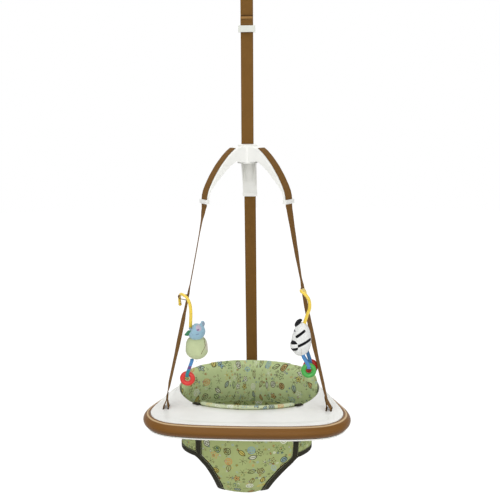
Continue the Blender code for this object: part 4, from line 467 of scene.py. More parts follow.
@dataclass(frozen=True)
class PrintedCloth:
    """The seat's cloth: a pale leaf-green ground with small drawn blossoms, rings, leaves and sprigs."""

    name: str
    ground: Colour
    shade: Colour
    inks: Tuple[Colour, ...]
    cell: float = 0.0310
    line: float = 0.036

    def build(self) -> Look:
        """The material."""
        shader = Shader(self.name)
        at = shader.coords("UV")
        across, along, _ = shader.split(at)
        cloud = shader.noise(at, 40.0, 4.0, 0.6)
        threads = (across.wave(0.0010) * 0.5 + 0.5) * (along.wave(0.0010) * 0.5 + 0.5)
        colour = shader.mix(cloud * 0.8 + threads * 0.2, self.shade, self.ground)
        for size, shift, busy in ((self.cell * 0.36, (0.31, 0.17, 0.0), 0.50), (self.cell, (0.0, 0.0, 0.0), 1.0)):
            colour = self.motifs(shader, colour, at, size, shift, busy)
        return shader.finish(colour, 0.86 + cloud * 0.08, threads * 0.8 + cloud * 0.2, depth=0.00035, strength=0.45,
                             gleam=0.12)

    def motifs(self, shader: Shader, under: Val, at: Val, size: float, shift: tuple, busy: float) -> Val:
        """Draws one scatter of motifs over a colour.

        Args:
            shader: the shader to add to.
            under: the colour so far.
            at: cloth coordinates in metres.
            size: the mean distance between motifs.
            shift: where the scatter starts.
            busy: the share of cells that hold a motif.

        Returns:
            The colour with the motifs on it.
        """
        place = shader.scaled(at, 1 / size, shift)
        cell = shader.node("ShaderNodeTexVoronoi", {"voronoi_dimensions": "2D"},
                           {"Vector": place, "Scale": 1.0, "Randomness": 0.72}).socket.node
        offset = shader.node("ShaderNodeVectorMath", {"operation": "SUBTRACT"},
                             {0: place, 1: Val(shader, cell.outputs["Position"])})
        x, y, _ = shader.split(offset)
        pick, turn, tint = shader.split(Val(shader, cell.outputs["Color"]))
        radius = shader.math("SQRT", x * x + y * y)
        angle = shader.math("ARCTAN2", y, x) + turn * math.tau
        u = radius * shader.math("COSINE", angle)
        v = radius * shader.math("SINE", angle)
        line = self.line
        petals = radius - 0.25 - shader.math("COSINE", angle * 5) * 0.085
        blossom = (abs(petals) < line).most(radius < 0.075)
        hoops = (abs(radius - 0.30) < line).most(abs(radius - 0.15) < line)
        hoops = hoops.most((abs(v) < line * 0.7) * (radius < 0.30))
        blade = abs(v) - 0.19 + u * u * 1.25
        leaf = (abs(blade) < line).most((abs(v) < line * 0.8) * (abs(u) < 0.42))
        fronds = abs(shader.math("SINE", angle * 3)) * radius
        sprig = (fronds < line * 1.2) * (radius < 0.36)
        first, second, third = pick < 0.30, (pick > 0.30) * (pick < 0.52), (pick > 0.52) * (pick < 0.80)
        drawn = blossom * first + hoops * second + leaf * third + sprig * (pick > 0.80)
        body = (petals < 0.0) * first + (radius < 0.30) * second + (blade < 0.0) * third
        ink = shader.bands(tint, [(i / len(self.inks), ink) for i, ink in enumerate(self.inks)])
        here = (turn < busy) * (radius < 0.47)
        filled = (shader.math("FRACT", tint * 7.0) < 0.62) * (1 - (tint < 0.375))
        washed = shader.mix(body.least(1.0) * here * filled * 0.62, under, ink)
        line_ink = shader.mix(filled, ink, self.inks[0])
        return shader.mix(drawn.least(1.0) * here * 0.85, washed, line_ink)


@dataclass(frozen=True)
class Dab:
    """A painted or sewn stroke on a toy, from one place to another in X and Z."""

    start: Pair
    end: Pair
    radius: float
    colour: Colour


@dataclass(frozen=True)
class ToyPlush(PlainCloth):
    """Short plush with sewn strokes on it."""

    dabs: Tuple[Dab, ...] = ()

    def build(self) -> Look:
        """The material."""
        shader = Shader(self.name)
        colour, height = self.ground(shader, self.colour)
        at = shader.coords("Object")
        x, _, z = shader.split(at)
        rag = shader.noise(at, 420.0, 2.0) * 0.0014
        for dab in self.dabs:
            span = (dab.end[0] - dab.start[0], dab.end[1] - dab.start[1])
            square = span[0] ** 2 + span[1] ** 2 or 1.0
            px, pz = x - dab.start[0], z - dab.start[1]
            share = ((px * span[0] + pz * span[1]) / square).most(0.0).least(1.0)
            dx, dz = px - share * span[0], pz - share * span[1]
            away = shader.math("SQRT", dx * dx + dz * dz) + rag
            colour = shader.mix(1 - away.step(dab.radius * 0.85, dab.radius * 1.15), colour, dab.colour)
        return shader.finish(colour, 0.92, height, depth=0.0006, strength=0.7, gleam=0.1, Sheen_Weight=self.sheen)


class RibbonCloth(ToyPlush):
    """Satin ribbon, which takes dyed ends like a toy's strokes."""


class Palette:
    """Every finish of the object, built once."""

    def __init__(self) -> None:
        """Builds the materials."""
        inks = ((0.045, 0.032, 0.016), (0.06, 0.12, 0.035), (0.12, 0.055, 0.02), (0.58, 0.25, 0.07),
                (0.17, 0.33, 0.46), (0.74, 0.74, 0.66), (0.62, 0.46, 0.08), (0.30, 0.40, 0.42))
        dark, grey, brown = (0.004, 0.004, 0.006), (0.10, 0.10, 0.12), (0.16, 0.12, 0.06)
        stripes = (Dab((0.1320, -1.2620), (0.1515, -1.2470), 0.0042, dark),
                   Dab((0.1350, -1.2870), (0.1660, -1.2710), 0.0044, dark),
                   Dab((0.1265, -1.2480), (0.1268, -1.2490), 0.0026, grey))
        bands = (Dab((0.1100, -1.2785), (0.1320, -1.2765), 0.0052, dark),
                 Dab((0.1130, -1.2990), (0.1330, -1.2940), 0.0050, dark))
        mark = (Dab((-0.1270, -1.2380), (-0.1230, -1.2420), 0.0062, (0.50, 0.44, 0.52)),
                Dab((-0.1150, -1.2300), (-0.1130, -1.2350), 0.0040, (0.27, 0.33, 0.40)),
                Dab((-0.1275, -1.2440), (-0.1250, -1.2435), 0.0027, (0.25, 0.14, 0.27)),
                Dab((-0.1310, -1.2555), (-0.1240, -1.2545), 0.0015, (0.15, 0.18, 0.30)))
        side = (Dab((-0.1030, -1.2760), (-0.1030, -1.2990), 0.0060, (0.60, 0.57, 0.44)),
                Dab((-0.1130, -1.2700), (-0.1085, -1.2900), 0.0013, brown),
                Dab((-0.1085, -1.2900), (-0.1190, -1.3100), 0.0013, brown))
        teal = (Dab((-0.170, -1.3520), (-0.140, -1.3520), 0.0050, (0.16, 0.09, 0.27)),
                Dab((-0.170, -1.3682), (-0.140, -1.3682), 0.0105, (0.04, 0.26, 0.30)))
        finishes = (
            Moulding("white_moulding", (0.835, 0.83, 0.785)),
            # a darker copy of the white moulding for the height buckle: painted shade
            Moulding("shaded_buckle_moulding", (0.665, 0.675, 0.61)),
            Moulding("hook_yellow", (0.86, 0.61, 0.055), 0.28, coat=0.2),
            Moulding("ring_red", (0.70, 0.026, 0.016), 0.30, coat=0.1),
            Moulding("ring_green", (0.050, 0.38, 0.055), 0.30, coat=0.1),
            # the second colour is the painted highlight on the bumper's shoulder
            Cushioned("bumper_brown", (0.174, 0.072, 0.0095), (0.62, 0.44, 0.24)),
            Metal("zinc_wire", (0.62, 0.62, 0.60), 1.0, 0.28),
            Metal("grey_paint", (0.62, 0.62, 0.60), 0.0, 0.38),
            Rubber("grip_rubber", (0.045, 0.045, 0.045)),
            Webbing("brown_webbing", (0.185, 0.090, 0.021)),
            # a paler webbing for the rolled hem: painted highlight on the fold's crest
            Webbing("hem_highlight_webbing", (0.33, 0.175, 0.055)),
            # near-black webbing for the strip of painted shadow along the top of the fold above the buckle
            Webbing("fold_shadow_webbing", (0.060, 0.028, 0.008), 0.009, 0.0012, 0.0008),
            Webbing("dark_binding", (0.030, 0.028, 0.017), 0.018, 0.0014, 0.0012),
            RibbonCloth("blue_ribbon", (0.095, 0.27, 0.56)),
            RibbonCloth("tipped_ribbon", (0.095, 0.27, 0.56), dabs=teal),
            PlainCloth("stitch_thread", (0.27, 0.17, 0.08), 0.0004),
            PlainCloth("pale_thread", (0.42, 0.44, 0.26), 0.0004),
            PlainCloth("sleeve_knit", (0.15, 0.078, 0.026), 0.0012),
            PrintedCloth("leaf_print", (0.43, 0.48, 0.215), (0.32, 0.375, 0.145), inks),
            # a paler copy of the seat's print for the back pad: painted light on the pad, which sits in shade inside
            # the bowl
            PrintedCloth("pad_print_painted_light", (0.575, 0.665, 0.36), (0.465, 0.555, 0.26), inks),
            PrintedCloth("pale_print", (0.58, 0.63, 0.42), (0.50, 0.56, 0.34), inks, 0.024),
            ToyPlush("pale_green_plush", (0.50, 0.56, 0.32), 0.0012, 0.16, 0.5, 0.2, side),
            ToyPlush("leaf_green_plush", (0.05, 0.20, 0.10), 0.0012, 0.18, 0.5, 0.2),
            ToyPlush("pale_blue_plush", (0.29, 0.46, 0.56), 0.0012, 0.16, 0.5, 0.2, mark),
            ToyPlush("striped_plush", (0.78, 0.78, 0.76), 0.0012, 0.08, 0.5, 0.2, stripes),
            ToyPlush("banded_plush", (0.78, 0.78, 0.76), 0.0012, 0.08, 0.5, 0.2, bands),
            ToyPlush("black_plush", (0.010, 0.010, 0.012), 0.0012, 0.25, 0.5, 0.2),
        )
        self.made: Dict[str, Look] = {f.name: f.build() for f in finishes}

    def __getitem__(self, name: str) -> Look:
        """The material of that name."""
        return self.made[name]


# Shapes


def foot_facing(x: float, y: float) -> Vector:
    """The direction in which the two slots of a strap's foot stand apart."""
    return Vector((x, y * (0.35 if x > 0 else 0.15), 0)).normalized()


def lerp_route(points: Route, sides: Route, step: float) -> Tuple[List[Vector], List[Vector]]:
    """Cuts the long spans of a route into shorter ones.

    Args:
        points: the route.
        sides: the width direction at each point.
        step: the longest span that is left.

    Returns:
        The new points and width directions.
    """
    out, wide = [], []
    for a, b, p, q in zip(points, points[1:], sides, sides[1:]):
        count = max(1, math.ceil((b - a).length / step))
        for k in range(count):
            out.append(a.lerp(b, k / count))
            wide.append(p.lerp(q, k / count))
    return out + [points[-1]], wide + [sides[-1]]


def smooth_route(points: Sequence[Sequence[float]], steps: int) -> List[Vector]:
    """A smooth open curve through points, with a set number of steps in each span."""
    places = [Vector(p) for p in points]
    found = []
    for i in range(len(places) - 1):
        b, c = places[i], places[i + 1]
        a = places[i - 1] if i else b * 2 - c
        d = places[i + 2] if i + 2 < len(places) else c * 2 - b
        for k in range(steps):
            t = k / steps
            square = (a * 2 - b * 5 + c * 4 - d) * t * t
            found.append((b * 2 + (c - a) * t + square + (b * 3 - a - c * 3 + d) * t**3) / 2)
    return found + [places[-1]]


def headings(points: Route, closed: bool = False) -> List[Vector]:
    """The unit tangent at each point of a route."""
    count = len(points)
    found = []
    for i in range(count):
        before = points[i - 1] if closed or i else points[0]
        after = points[(i + 1) % count] if closed or i < count - 1 else points[-1]
        found.append((after - before).normalized())
    return found


def held(share: float) -> float:
    """A share held between 0 and 1."""
    return max(0.0, min(1.0, share))


def ease(share: float) -> float:
    """A smooth step of a share, held between 0 and 1."""
    share = held(share)
    return share * share * (3 - 2 * share)


def compass(turn: float, x: float = 1.0, y: float = 1.0) -> Vector:
    """A level direction from a turn about Z, 0 at the front, with its reach along each axis."""
    return Vector((x * math.sin(turn), -y * math.cos(turn), 0))


def spread(low: float, high: float, count: int) -> List[float]:
    """Evenly spaced numbers from one to another, in a set number of steps."""
    return [low + (high - low) * i / count for i in range(count + 1)]


def distances(points: Route) -> List[float]:
    """How far along a route each of its points lies."""
    found = [0.0]
    for a, b in zip(points, points[1:]):
        found.append(found[-1] + (b - a).length)
    return found


def linked(name: str, data: bpy.types.ID) -> Piece:
    """A new object round its data, in the scene."""
    piece = bpy.data.objects.new(name, data)
    bpy.context.scene.collection.objects.link(piece)
    return piece


def new_piece(name: str, bm: bmesh.types.BMesh, look: Optional[Look]) -> Piece:
    """Makes a piece from a bmesh, at the origin.

    Args:
        name: the piece's name.
        bm: its mesh, which is freed.
        look: its material, with which it is shaded smooth.

    Returns:
        The piece.
    """
    mesh = bpy.data.meshes.new(name)
    bm.to_mesh(mesh)
    bm.free()
    if look is not None:
        mesh.materials.append(look)
        mesh.shade_smooth()
    return linked(name, mesh)


def settle(piece: Piece, body: Body, node: str = "") -> None:
    """Puts a piece on its body.

    Args:
        piece: the piece.
        body: the body that it rides on.
        node: the CAD node that it stands for, if any.
    """
    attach(piece, body.value)
    if node:
        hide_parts(node)
    LOG.info("built %s", piece.name)


def stretch(piece: Piece, node: str) -> None:
    """Hides the CAD node that a piece stands for and bakes the piece's placement into its mesh.

    Args:
        piece: the piece.
        node: the CAD node that it stands for.
    """
    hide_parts(node)
    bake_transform(piece)
    LOG.info("built %s", piece.name)


def skinned(name: str, rings: Sequence[Route], marks: Sequence[Sequence[Pair]],
            look: Look, closed: bool = False) -> Piece:
    """Skins a row of equal rings, with a UV map in metres.

    Args:
        name: the piece's name.
        rings: the sections.
        marks: the UV place of each point of each section.
        look: the material.
        closed: whether the last section joins the first.

    Returns:
        The piece.
    """
    bm = bmesh.new()
    uv = bm.loops.layers.uv.new("cloth")
    rows = [[bm.verts.new(p) for p in ring] for ring in rings]
    count, total = len(rows[0]), len(rows)
    for i in range(total if closed else total - 1):
        j = (i + 1) % total
        for k in range(count):
            m = (k + 1) % count
            face = bm.faces.new((rows[i][k], rows[i][m], rows[j][m], rows[j][k]))
            face.smooth = True
            for loop, (r, c) in zip(face.loops, ((i, k), (i, m), (j, m), (j, k))):
                loop[uv].uv = marks[r][c]
    if not closed:
        bm.faces.new(rows[0][::-1])
        bm.faces.new(rows[-1])
    bmesh.ops.recalc_face_normals(bm, faces=bm.faces)
    return new_piece(name, bm, look)


@dataclass
class Band:
    """A woven band along a route, with soft selvedges."""

    width: float
    thickness: float
    columns: int = 8
    bulge: float = 0.0

    def build(self, name: str, points: Route, sides: Route, look: Look,
              closed: bool = False, widths: Sequence[float] = ()) -> Piece:
        """Sweeps the band.

        Args:
            name: the piece's name.
            points: its middle line.
            sides: the width direction at each point.
            look: its material.
            closed: whether it joins up with itself.
            widths: its width at each point, where that changes.

        Returns:
            The piece.
        """
        widths = widths or [self.width] * len(points)
        shares = [-0.985 + 1.97 * j / self.columns for j in range(self.columns + 1)]
        along = distances(points)
        rings, marks = [], []
        for point, tangent, wide, far, width in zip(points, headings(points, closed), sides, along, widths):
            wide = (wide - tangent * wide.dot(tangent)).normalized() * width / self.width
            deep = tangent.cross(wide).normalized()
            ring, mark = [point - wide * self.width / 2], [(-self.width / 2, far)]
            for face in (1, -1):
                for s in shares[::face]:
                    half = self.thickness / 2 * (1 - 0.45 * abs(s) ** 8 + self.bulge * (1 - s * s))
                    ring.append(point + wide * (s * self.width / 2) + deep * (half * face))
                    mark.append((s * self.width / 2, far))
                if face == 1:
                    ring.append(point + wide * self.width / 2)
                    mark.append((self.width / 2, far))
            rings.append(ring)
            marks.append(mark)
        return skinned(name, rings, marks, look, closed)


def rounded_bar(name: str, points: Route, radii: Sequence[float], look: Look,
                first: Vector, closed: bool = False, sides: int = 16) -> Piece:
    """A round bar along a route with a radius at each point.

    Args:
        name: the piece's name.
        points: its middle line.
        radii: the radius at each point.
        look: its material.
        first: a direction across the bar at its start.
        closed: whether it is a ring.
        sides: how many sides its section has.

    Returns:
        The piece.
    """
    rings, marks, side = [], [], first
    for point, tangent, radius, far in zip(points, headings(points, closed), radii, distances(points)):
        side = (side - tangent * side.dot(tangent)).normalized()
        other = tangent.cross(side)
        turns = [math.tau * k / sides for k in range(sides)]
        rings.append([point + (side * math.cos(t) + other * math.sin(t)) * radius for t in turns])
        marks.append([(t * radius, far) for t in turns])
    return skinned(name, rings, marks, look, closed)


def cloth_sheet(name: str, grid: Sequence[Route], thickness: float, look: Look,
                ripple: float) -> Tuple[Piece, Pair, float]:
    """A closed sheet of cloth round a grid of points.

    Args:
        name: the piece's name.
        grid: rows of points from top to bottom.
        thickness: the cloth's thickness.
        look: its material.
        ripple: the height of its small creases.

    Returns:
        The piece, its flat size, and its flat area.
    """
    rows, columns = len(grid), len(grid[0])
    middle = columns // 2
    down = distances([row[middle] for row in grid])
    rings, marks, widest, area = [], [], 0.0, 0.0
    for i in range(rows):
        over = distances(grid[i])
        widest = max(widest, over[-1])
        front, back, mark = [], [], []
        for j in range(columns):
            drop = grid[min(i + 1, rows - 1)][j] - grid[max(i - 1, 0)][j]
            reach = grid[i][min(j + 1, columns - 1)] - grid[i][max(j - 1, 0)]
            out = drop.cross(reach).normalized()
            point = grid[i][j]
            lift = noise.noise(point * 26.0) * ripple + noise.noise(point * 70.0) * ripple * 0.35
            edge = min(1.0, min(j, columns - 1 - j, i, rows - 1 - i) / 2)
            half = thickness / 2 * (0.55 + 0.45 * edge)
            front.append(point + out * (half + lift * edge))
            back.append(point - out * (half - lift * edge))
            mark.append((over[j] - over[middle], -down[i]))
        rings.append(front + back[::-1])
        marks.append(mark + mark[::-1])
        if i:
            for j in range(columns - 1):
                a, b, c, d = grid[i - 1][j], grid[i - 1][j + 1], grid[i][j + 1], grid[i][j]
                area += ((c - a).cross(d - b)).length / 2
    return skinned(name, rings, marks, look), (widest, down[-1]), area


class Repeater:
    """Geometry Nodes that set one small rounded shape at every mark."""

    def __init__(self) -> None:
        """Builds the tree with its named inputs."""
        self.graph = graph = Graph("set_at_marks", ("Marks", "Geometry"), ("Length", "Float"), ("Width", "Float"),
                                   ("Height", "Float"), ("Seed", "Int"), ("Finish", "Material"))
        given, turn = graph.given, None
        bead = graph.add("GeometryNodeMeshUVSphere", {"Segments": 8, "Rings": 5, "Radius": 0.5})
        bead = graph.add("GeometryNodeSetShadeSmooth", {"Geometry": bead})
        size = graph.add("ShaderNodeCombineXYZ", {0: given["Length"], 1: given["Width"], 2: given["Height"]})
        for axis, pivot, label in (("X", "AUTO", "along"), ("Z", "X", "up")):
            read = graph.add("GeometryNodeInputNamedAttribute", {"Name": label}, "Attribute",
                             data_type="FLOAT_VECTOR")
            values = {"Vector": read} if turn is None else {"Vector": read, "Rotation": turn}
            turn = graph.add("FunctionNodeAlignRotationToVector", values, axis=axis, pivot_axis=pivot)
        vary = graph.add("FunctionNodeRandomValue", {2: 0.92, 3: 1.08, "Seed": given["Seed"]}, 1, data_type="FLOAT")
        grow = graph.add("ShaderNodeVectorMath", {0: size, "Scale": vary}, operation="SCALE")
        graph.close(graph.add("GeometryNodeInstanceOnPoints", {"Points": given["Marks"], "Instance": bead,
                                                               "Rotation": turn, "Scale": grow}))

    def sew(self, name: str, marks: Sequence[Stitch], size: Triple, look: Look, seed: int, body: Body) -> None:
        """Sets the shape at every mark, as one plain mesh on its body.

        Args:
            name: the piece's name.
            marks: place, direction along and direction outwards of each copy.
            size: length, width and height of a copy.
            look: its material.
            seed: fixes the small differences between copies.
            body: the body that it rides on.
        """
        mesh = bpy.data.meshes.new(name + "_marks")
        mesh.from_pydata([m[0] for m in marks], [], [])
        for place, label in ((1, "along"), (2, "up")):
            data = mesh.attributes.new(label, "FLOAT_VECTOR", "POINT")
            data.data.foreach_set("vector", [c for m in marks for c in m[place]])
        length, width, height = size
        settle(bake(self.graph.wear(linked(name, mesh), Length=length, Width=width, Height=height, Seed=seed,
                                    Finish=look)), body)


def bake(piece: Piece) -> Piece:
    """Turns a piece into the plain mesh that its modifiers leave."""
    bpy.context.view_layer.update()
    made = bpy.data.meshes.new_from_object(piece.evaluated_get(bpy.context.evaluated_depsgraph_get()))
    piece.modifiers.clear()
    piece.data = made
    return piece


def stitch_marks(points: Route, outward: Callable[[Vector], Vector], pitch: float,
                 lift: float = 0.0) -> List[Stitch]:
    """Marks evenly along a sewing line.

    Args:
        points: the line.
        outward: the direction away from the cloth at a point.
        pitch: the distance between stitches.
        lift: how far the stitches stand off the line.

    Returns:
        Place, direction along and direction outwards of each stitch.
    """
    found, spare = [], pitch / 2
    for a, b in zip(points, points[1:]):
        length = (b - a).length
        while spare < length:
            place = a.lerp(b, spare / length)
            out = outward(place).normalized()
            found.append((place + out * lift, (b - a).normalized(), out))
            spare += pitch
        spare -= length
    return found


class SoftCorners:
    """Geometry Nodes that join a hard piece's triangles and smooth it up to a corner angle."""

    join: float = 0.00002

    def __init__(self, palette: "Palette") -> None:
        """Builds the tree with its named inputs."""
        self.palette = palette
        self.graph = graph = Graph("soft_corners", ("Piece", "Geometry"), ("Join", "Float"), ("Corner", "Float"),
                                   ("Finish", "Material"))
        given = graph.given
        merged = graph.add("GeometryNodeMergeByDistance", {"Geometry": given["Piece"], "Distance": given["Join"]})
        angle = graph.add("GeometryNodeInputMeshEdgeAngle", output="Unsigned Angle")
        crisp = graph.add("FunctionNodeCompare", {0: angle, 1: given["Corner"]}, data_type="FLOAT",
                          operation="GREATER_THAN")
        smooth = graph.add("GeometryNodeSetShadeSmooth", {"Geometry": merged}, domain="FACE")
        graph.close(graph.add("GeometryNodeSetShadeSmooth", {"Geometry": smooth, "Selection": crisp,
                                                             "Shade Smooth": False}, domain="EDGE"))

    def soften(self, piece: Piece, material: Look, corner: float) -> Piece:
        """Puts the tree on a piece; edges above the corner's degrees stay crisp."""
        return self.graph.wear(piece, Join=self.join, Corner=math.radians(corner), Finish=material)

    def dress(self, node: str, look: str) -> None:
        """Gives a hard CAD node its finish.

        Args:
            node: the node's name.
            look: the finish's name.
        """
        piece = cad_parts[node]
        material = self.palette[look]
        piece.data.materials.clear()
        piece.data.materials.append(material)
        normals = piece.data.attributes.get("custom_normal")
        if normals is not None:
            piece.data.attributes.remove(normals)
        self.soften(piece, material, CARRIED_CORNER)
        LOG.info("dressed %s with %s", node, look)


@dataclass
class Stuffing:
    """How a stuffed piece is swelled from its CAD solid."""

    voxel: float
    pressure: float
    swell: float
    inset: float
    steps: int = 20

    def fill(self, node: str, name: str, look: Look,
             room: Optional[Callable[[Vector, Vector], float]] = None) -> Piece:
        """Remeshes a copy of a node's solid and swells it as cloth round its filling.

        Args:
            node: the CAD node.
            name: the new piece's name.
            look: its material.
            room: how far a point may swell, from its place and outward direction.

        Returns:
            The piece, with no modifier left on it.
        """
        bm = bmesh.new()
        bm.from_mesh(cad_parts[node].data)
        bmesh.ops.remove_doubles(bm, verts=bm.verts, dist=0.00002)
        bmesh.ops.recalc_face_normals(bm, faces=bm.faces)
        bm.normal_update()
        for vert in bm.verts:
            vert.co -= vert.normal * self.inset
        piece = new_piece(name, bm, look)
        remesh = piece.modifiers.new("remesh", "REMESH")
        remesh.mode, remesh.voxel_size = "VOXEL", self.voxel
        rest, outward = zip(*((v.co.copy(), v.normal.copy()) for v in bake(piece).data.vertices))
        cloth = piece.modifiers.new("cloth", "CLOTH")
        cloth.settings.use_pressure = True
        cloth.settings.uniform_pressure_force = self.pressure
        cloth.settings.effector_weights.gravity = 0.0
        cloth.settings.quality = 4
        scene = bpy.context.scene
        for step in range(1, self.steps + 1):
            scene.frame_set(step)
        bake(piece)
        scene.frame_set(1)
        for vert, start, out in zip(piece.data.vertices, rest, outward):
            limit = self.swell if room is None else min(self.swell, room(start, out))
            move = vert.co - start
            if move.length > limit:
                vert.co = start + move * (limit / move.length)
        piece.data.materials.clear()
        piece.data.materials.append(look)
        piece.data.shade_smooth()
        return piece


def refine(piece: Piece) -> None:
    """Adds one live subdivision, the same in view and render."""
    modifier = piece.modifiers.new("smooth", "SUBSURF")
    modifier.levels = modifier.render_levels = 1


# The object's sub-assemblies


@dataclass
class HardParts:
    """The rigid CAD nodes, which keep their shape and get their finish."""

    white: Tuple[str, ...] = ("crown_shell", "spring_cap_top", "spring_cap_bottom", "pivot_spacer")
    # the height buckle takes a darker copy of the white moulding: painted shade
    grey: Tuple[str, ...] = ("height_buckle",)
    zinc: Tuple[str, ...] = ("jaw_pivot_pin", "hanger_pin", "spring_cap_pin", "strap_ring", "crown_bar_main",
                             "crown_bar_left", "crown_bar_right", "crown_bar_rear", "jaw_torsion_spring",
                             "tray_screw_1", "tray_screw_2", "tray_screw_3", "tray_screw_4")
    painted: Tuple[str, ...] = ("clamp_yoke", "front_jaw_arm", "rear_jaw_arm", "swing_hanger")
    grips: Tuple[str, ...] = ("front_jaw_pad", "rear_jaw_pad")

    def build(self, corners: SoftCorners) -> None:
        """Dresses every node."""
        for names, look in ((self.white, "white_moulding"), (self.grey, "shaded_buckle_moulding"), (self.zinc, "zinc_wire"),
                            (self.painted, "grey_paint"), (self.grips, "grip_rubber")):
            for name in names:
                corners.dress(name, look)


@dataclass
class Tray:
    """The moulded tray: deck with raised collar and skirt, base plate, and the soft bumper round them."""

    half_width: float = 0.275
    front_y: float = -0.234
    rear_y: float = 0.228
    centre_y: float = 0.027
    rim: Pair = (0.1954, 0.1224)
    wall: float = 0.003
    lip: float = 0.003
    border: float = 0.0018
    skirt_z: float = -1.4993
    bumper_width: float = 0.020
    bumper_z: float = -1.483
    bumper_half: float = 0.016
    gap: float = 0.0003
    plate_inset: float = 0.010
    plate: float = 0.004
    collar: float = 0.052
    flank: float = 0.012
    flank_turns: Pair = (66.0, 118.0)
    collar_turns: Pair = (52.0, 135.0)
    ramp: float = 0.62
    slot: Pair = (0.036, 0.0044)
    stations: int = 176
    # half the outline, as shares of its half width and of its depth from the front
    widths: Tuple[float, ...] = (0.0, 0.25, 0.50, 0.74, 0.885, 0.968, 1.0, 0.987, 0.952, 0.905, 0.855, 0.775, 0.655,
                                 0.475, 0.250, 0.0)
    depths: Tuple[float, ...] = (0.0, 0.003, 0.011, 0.038, 0.092, 0.165, 0.247, 0.330, 0.400, 0.480, 0.560, 0.665,
                                 0.775, 0.880, 0.960, 1.0)
    # the bumper's section, as shares of its width and half height
    girth: Tuple[Pair, ...] = (
        (-1.02, 0.80), (-1.00, 0.96), (-0.92, 1.02), (-0.74, 1.01), (-0.54, 0.93), (-0.36, 0.81), (-0.20, 0.63),
        (-0.08, 0.40), (0.0, 0.0), (-0.08, -0.40), (-0.20, -0.63), (-0.38, -0.84), (-0.56, -0.94), (-0.76, -1.0),
        (-1.0, -0.95))

    def outline(self) -> List[Vector]:
        """The bumper's outermost line at every station, from the front and towards the right."""
        half = [Vector((self.half_width * w, self.front_y + (self.rear_y - self.front_y) * d, 0))
                for w, d in zip(self.widths, self.depths)]
        mirror = Vector((-1, 1, 1))
        dense = smooth_route([half[1] * mirror] + half + [half[-2] * mirror], 16)[16:-16]
        polar = [(math.atan2(p.x, self.centre_y - p.y), math.hypot(p.x, p.y - self.centre_y)) for p in dense]
        found = []
        for k in range(self.stations):
            turn = math.tau * k / self.stations
            near = min(turn, math.tau - turn)
            after = next((i for i, p in enumerate(polar) if p[0] >= near), len(polar) - 1)
            a, b = polar[max(after - 1, 0)], polar[after]
            share = (near - a[0]) / (b[0] - a[0]) if b[0] > a[0] else 1.0
            reach = a[1] + (b[1] - a[1]) * min(1.0, share)
            found.append(Vector((0, self.centre_y, 0)) + compass(turn, reach, reach))
        return found

    def unmapped(self, rings: Sequence[Route]) -> List[List[Pair]]:
        """Empty UV places for rings whose finish needs none."""
        return [[(0.0, 0.0)] * len(ring) for ring in rings]

    def inset(self, outline: Route, amount: float) -> List[Vector]:
        """The outline moved inwards along its own normals."""
        return [p + Vector((-t.y, t.x, 0)) * amount for p, t in zip(outline, headings(outline, True))]

    def rim_point(self, turn: float) -> Vector:
        """The opening's rim in a direction from its centre."""
        reach = 1 / math.hypot(math.sin(turn) / self.rim[0], math.cos(turn) / self.rim[1])
        return Vector((0, self.centre_y, 0)) + compass(turn, reach, reach)

    def height(self, turn: float, share: float) -> float:
        """The deck's top between the rim, share 0, and the bumper, share 1."""
        near = math.degrees(min(turn, math.tau - turn))
        low, high = self.collar_turns
        rise = self.collar * ease((near - low) / (high - low)) * (1 - ease(share / self.ramp))
        starts, ends = self.flank_turns
        flank = self.flank * ease((near - starts) / 26) * (1 - ease((near - ends) / 34)) * ease(share / 0.5)
        return DECK_Z + rise + flank + self.border * ease((share - 0.80) / 0.08)

    def deck(self) -> List[List[Vector]]:
        """The deck's closed section at every station."""
        rings = []
        shares = [i / 22 for i in range(1, 22)]
        for k, out in enumerate(self.inset(self.outline(), self.bumper_width)):
            turn = math.tau * k / self.stations
            rim = self.rim_point(turn)
            span = out - rim
            line = span.normalized()
            crest = self.height(turn, 0)
            ring = [rim + UP * (crest - 0.0028), rim + line * 0.0006 + UP * (crest - 0.0010),
                    rim + line * 0.0018 + UP * (crest - 0.0002)]
            ring += [rim + span * s + UP * self.height(turn, s) for s in shares]
            edge = self.height(turn, 1)
            ring += [out - line * 0.0008 + UP * edge, out + UP * (edge - 0.0010), out + UP * (edge - self.lip)]
            ring += [out + UP * self.skirt_z, out - line * self.wall + UP * self.skirt_z]
            ring += [rim + span * s + UP * (self.height(turn, s) - self.wall) for s in shares[-2:2:-2]]
            ring += [rim + line * self.wall + UP * (crest - self.wall - 0.001),
                     rim + line * self.wall + UP * self.skirt_z, rim + UP * self.skirt_z]
            rings.append(ring)
        return rings

    def slots(self) -> Piece:
        """The tool that cuts two slots for each strap's legs."""
        bm = bmesh.new()
        for x, y in FEET.values():
            outward = foot_facing(x, y)
            facing = Matrix.Rotation(math.atan2(outward.y, outward.x), 4, "Z")
            for side in (-1, 1):
                place = Vector((x, y, DECK_Z)) + outward * side * LEG_SPACING / 2
                size = Matrix.Diagonal((self.slot[1], self.slot[0], 0.030, 1.0))
                bmesh.ops.create_cube(bm, size=1.0, matrix=Matrix.Translation(place) @ facing @ size)
        return new_piece("slot_tool", bm, None)

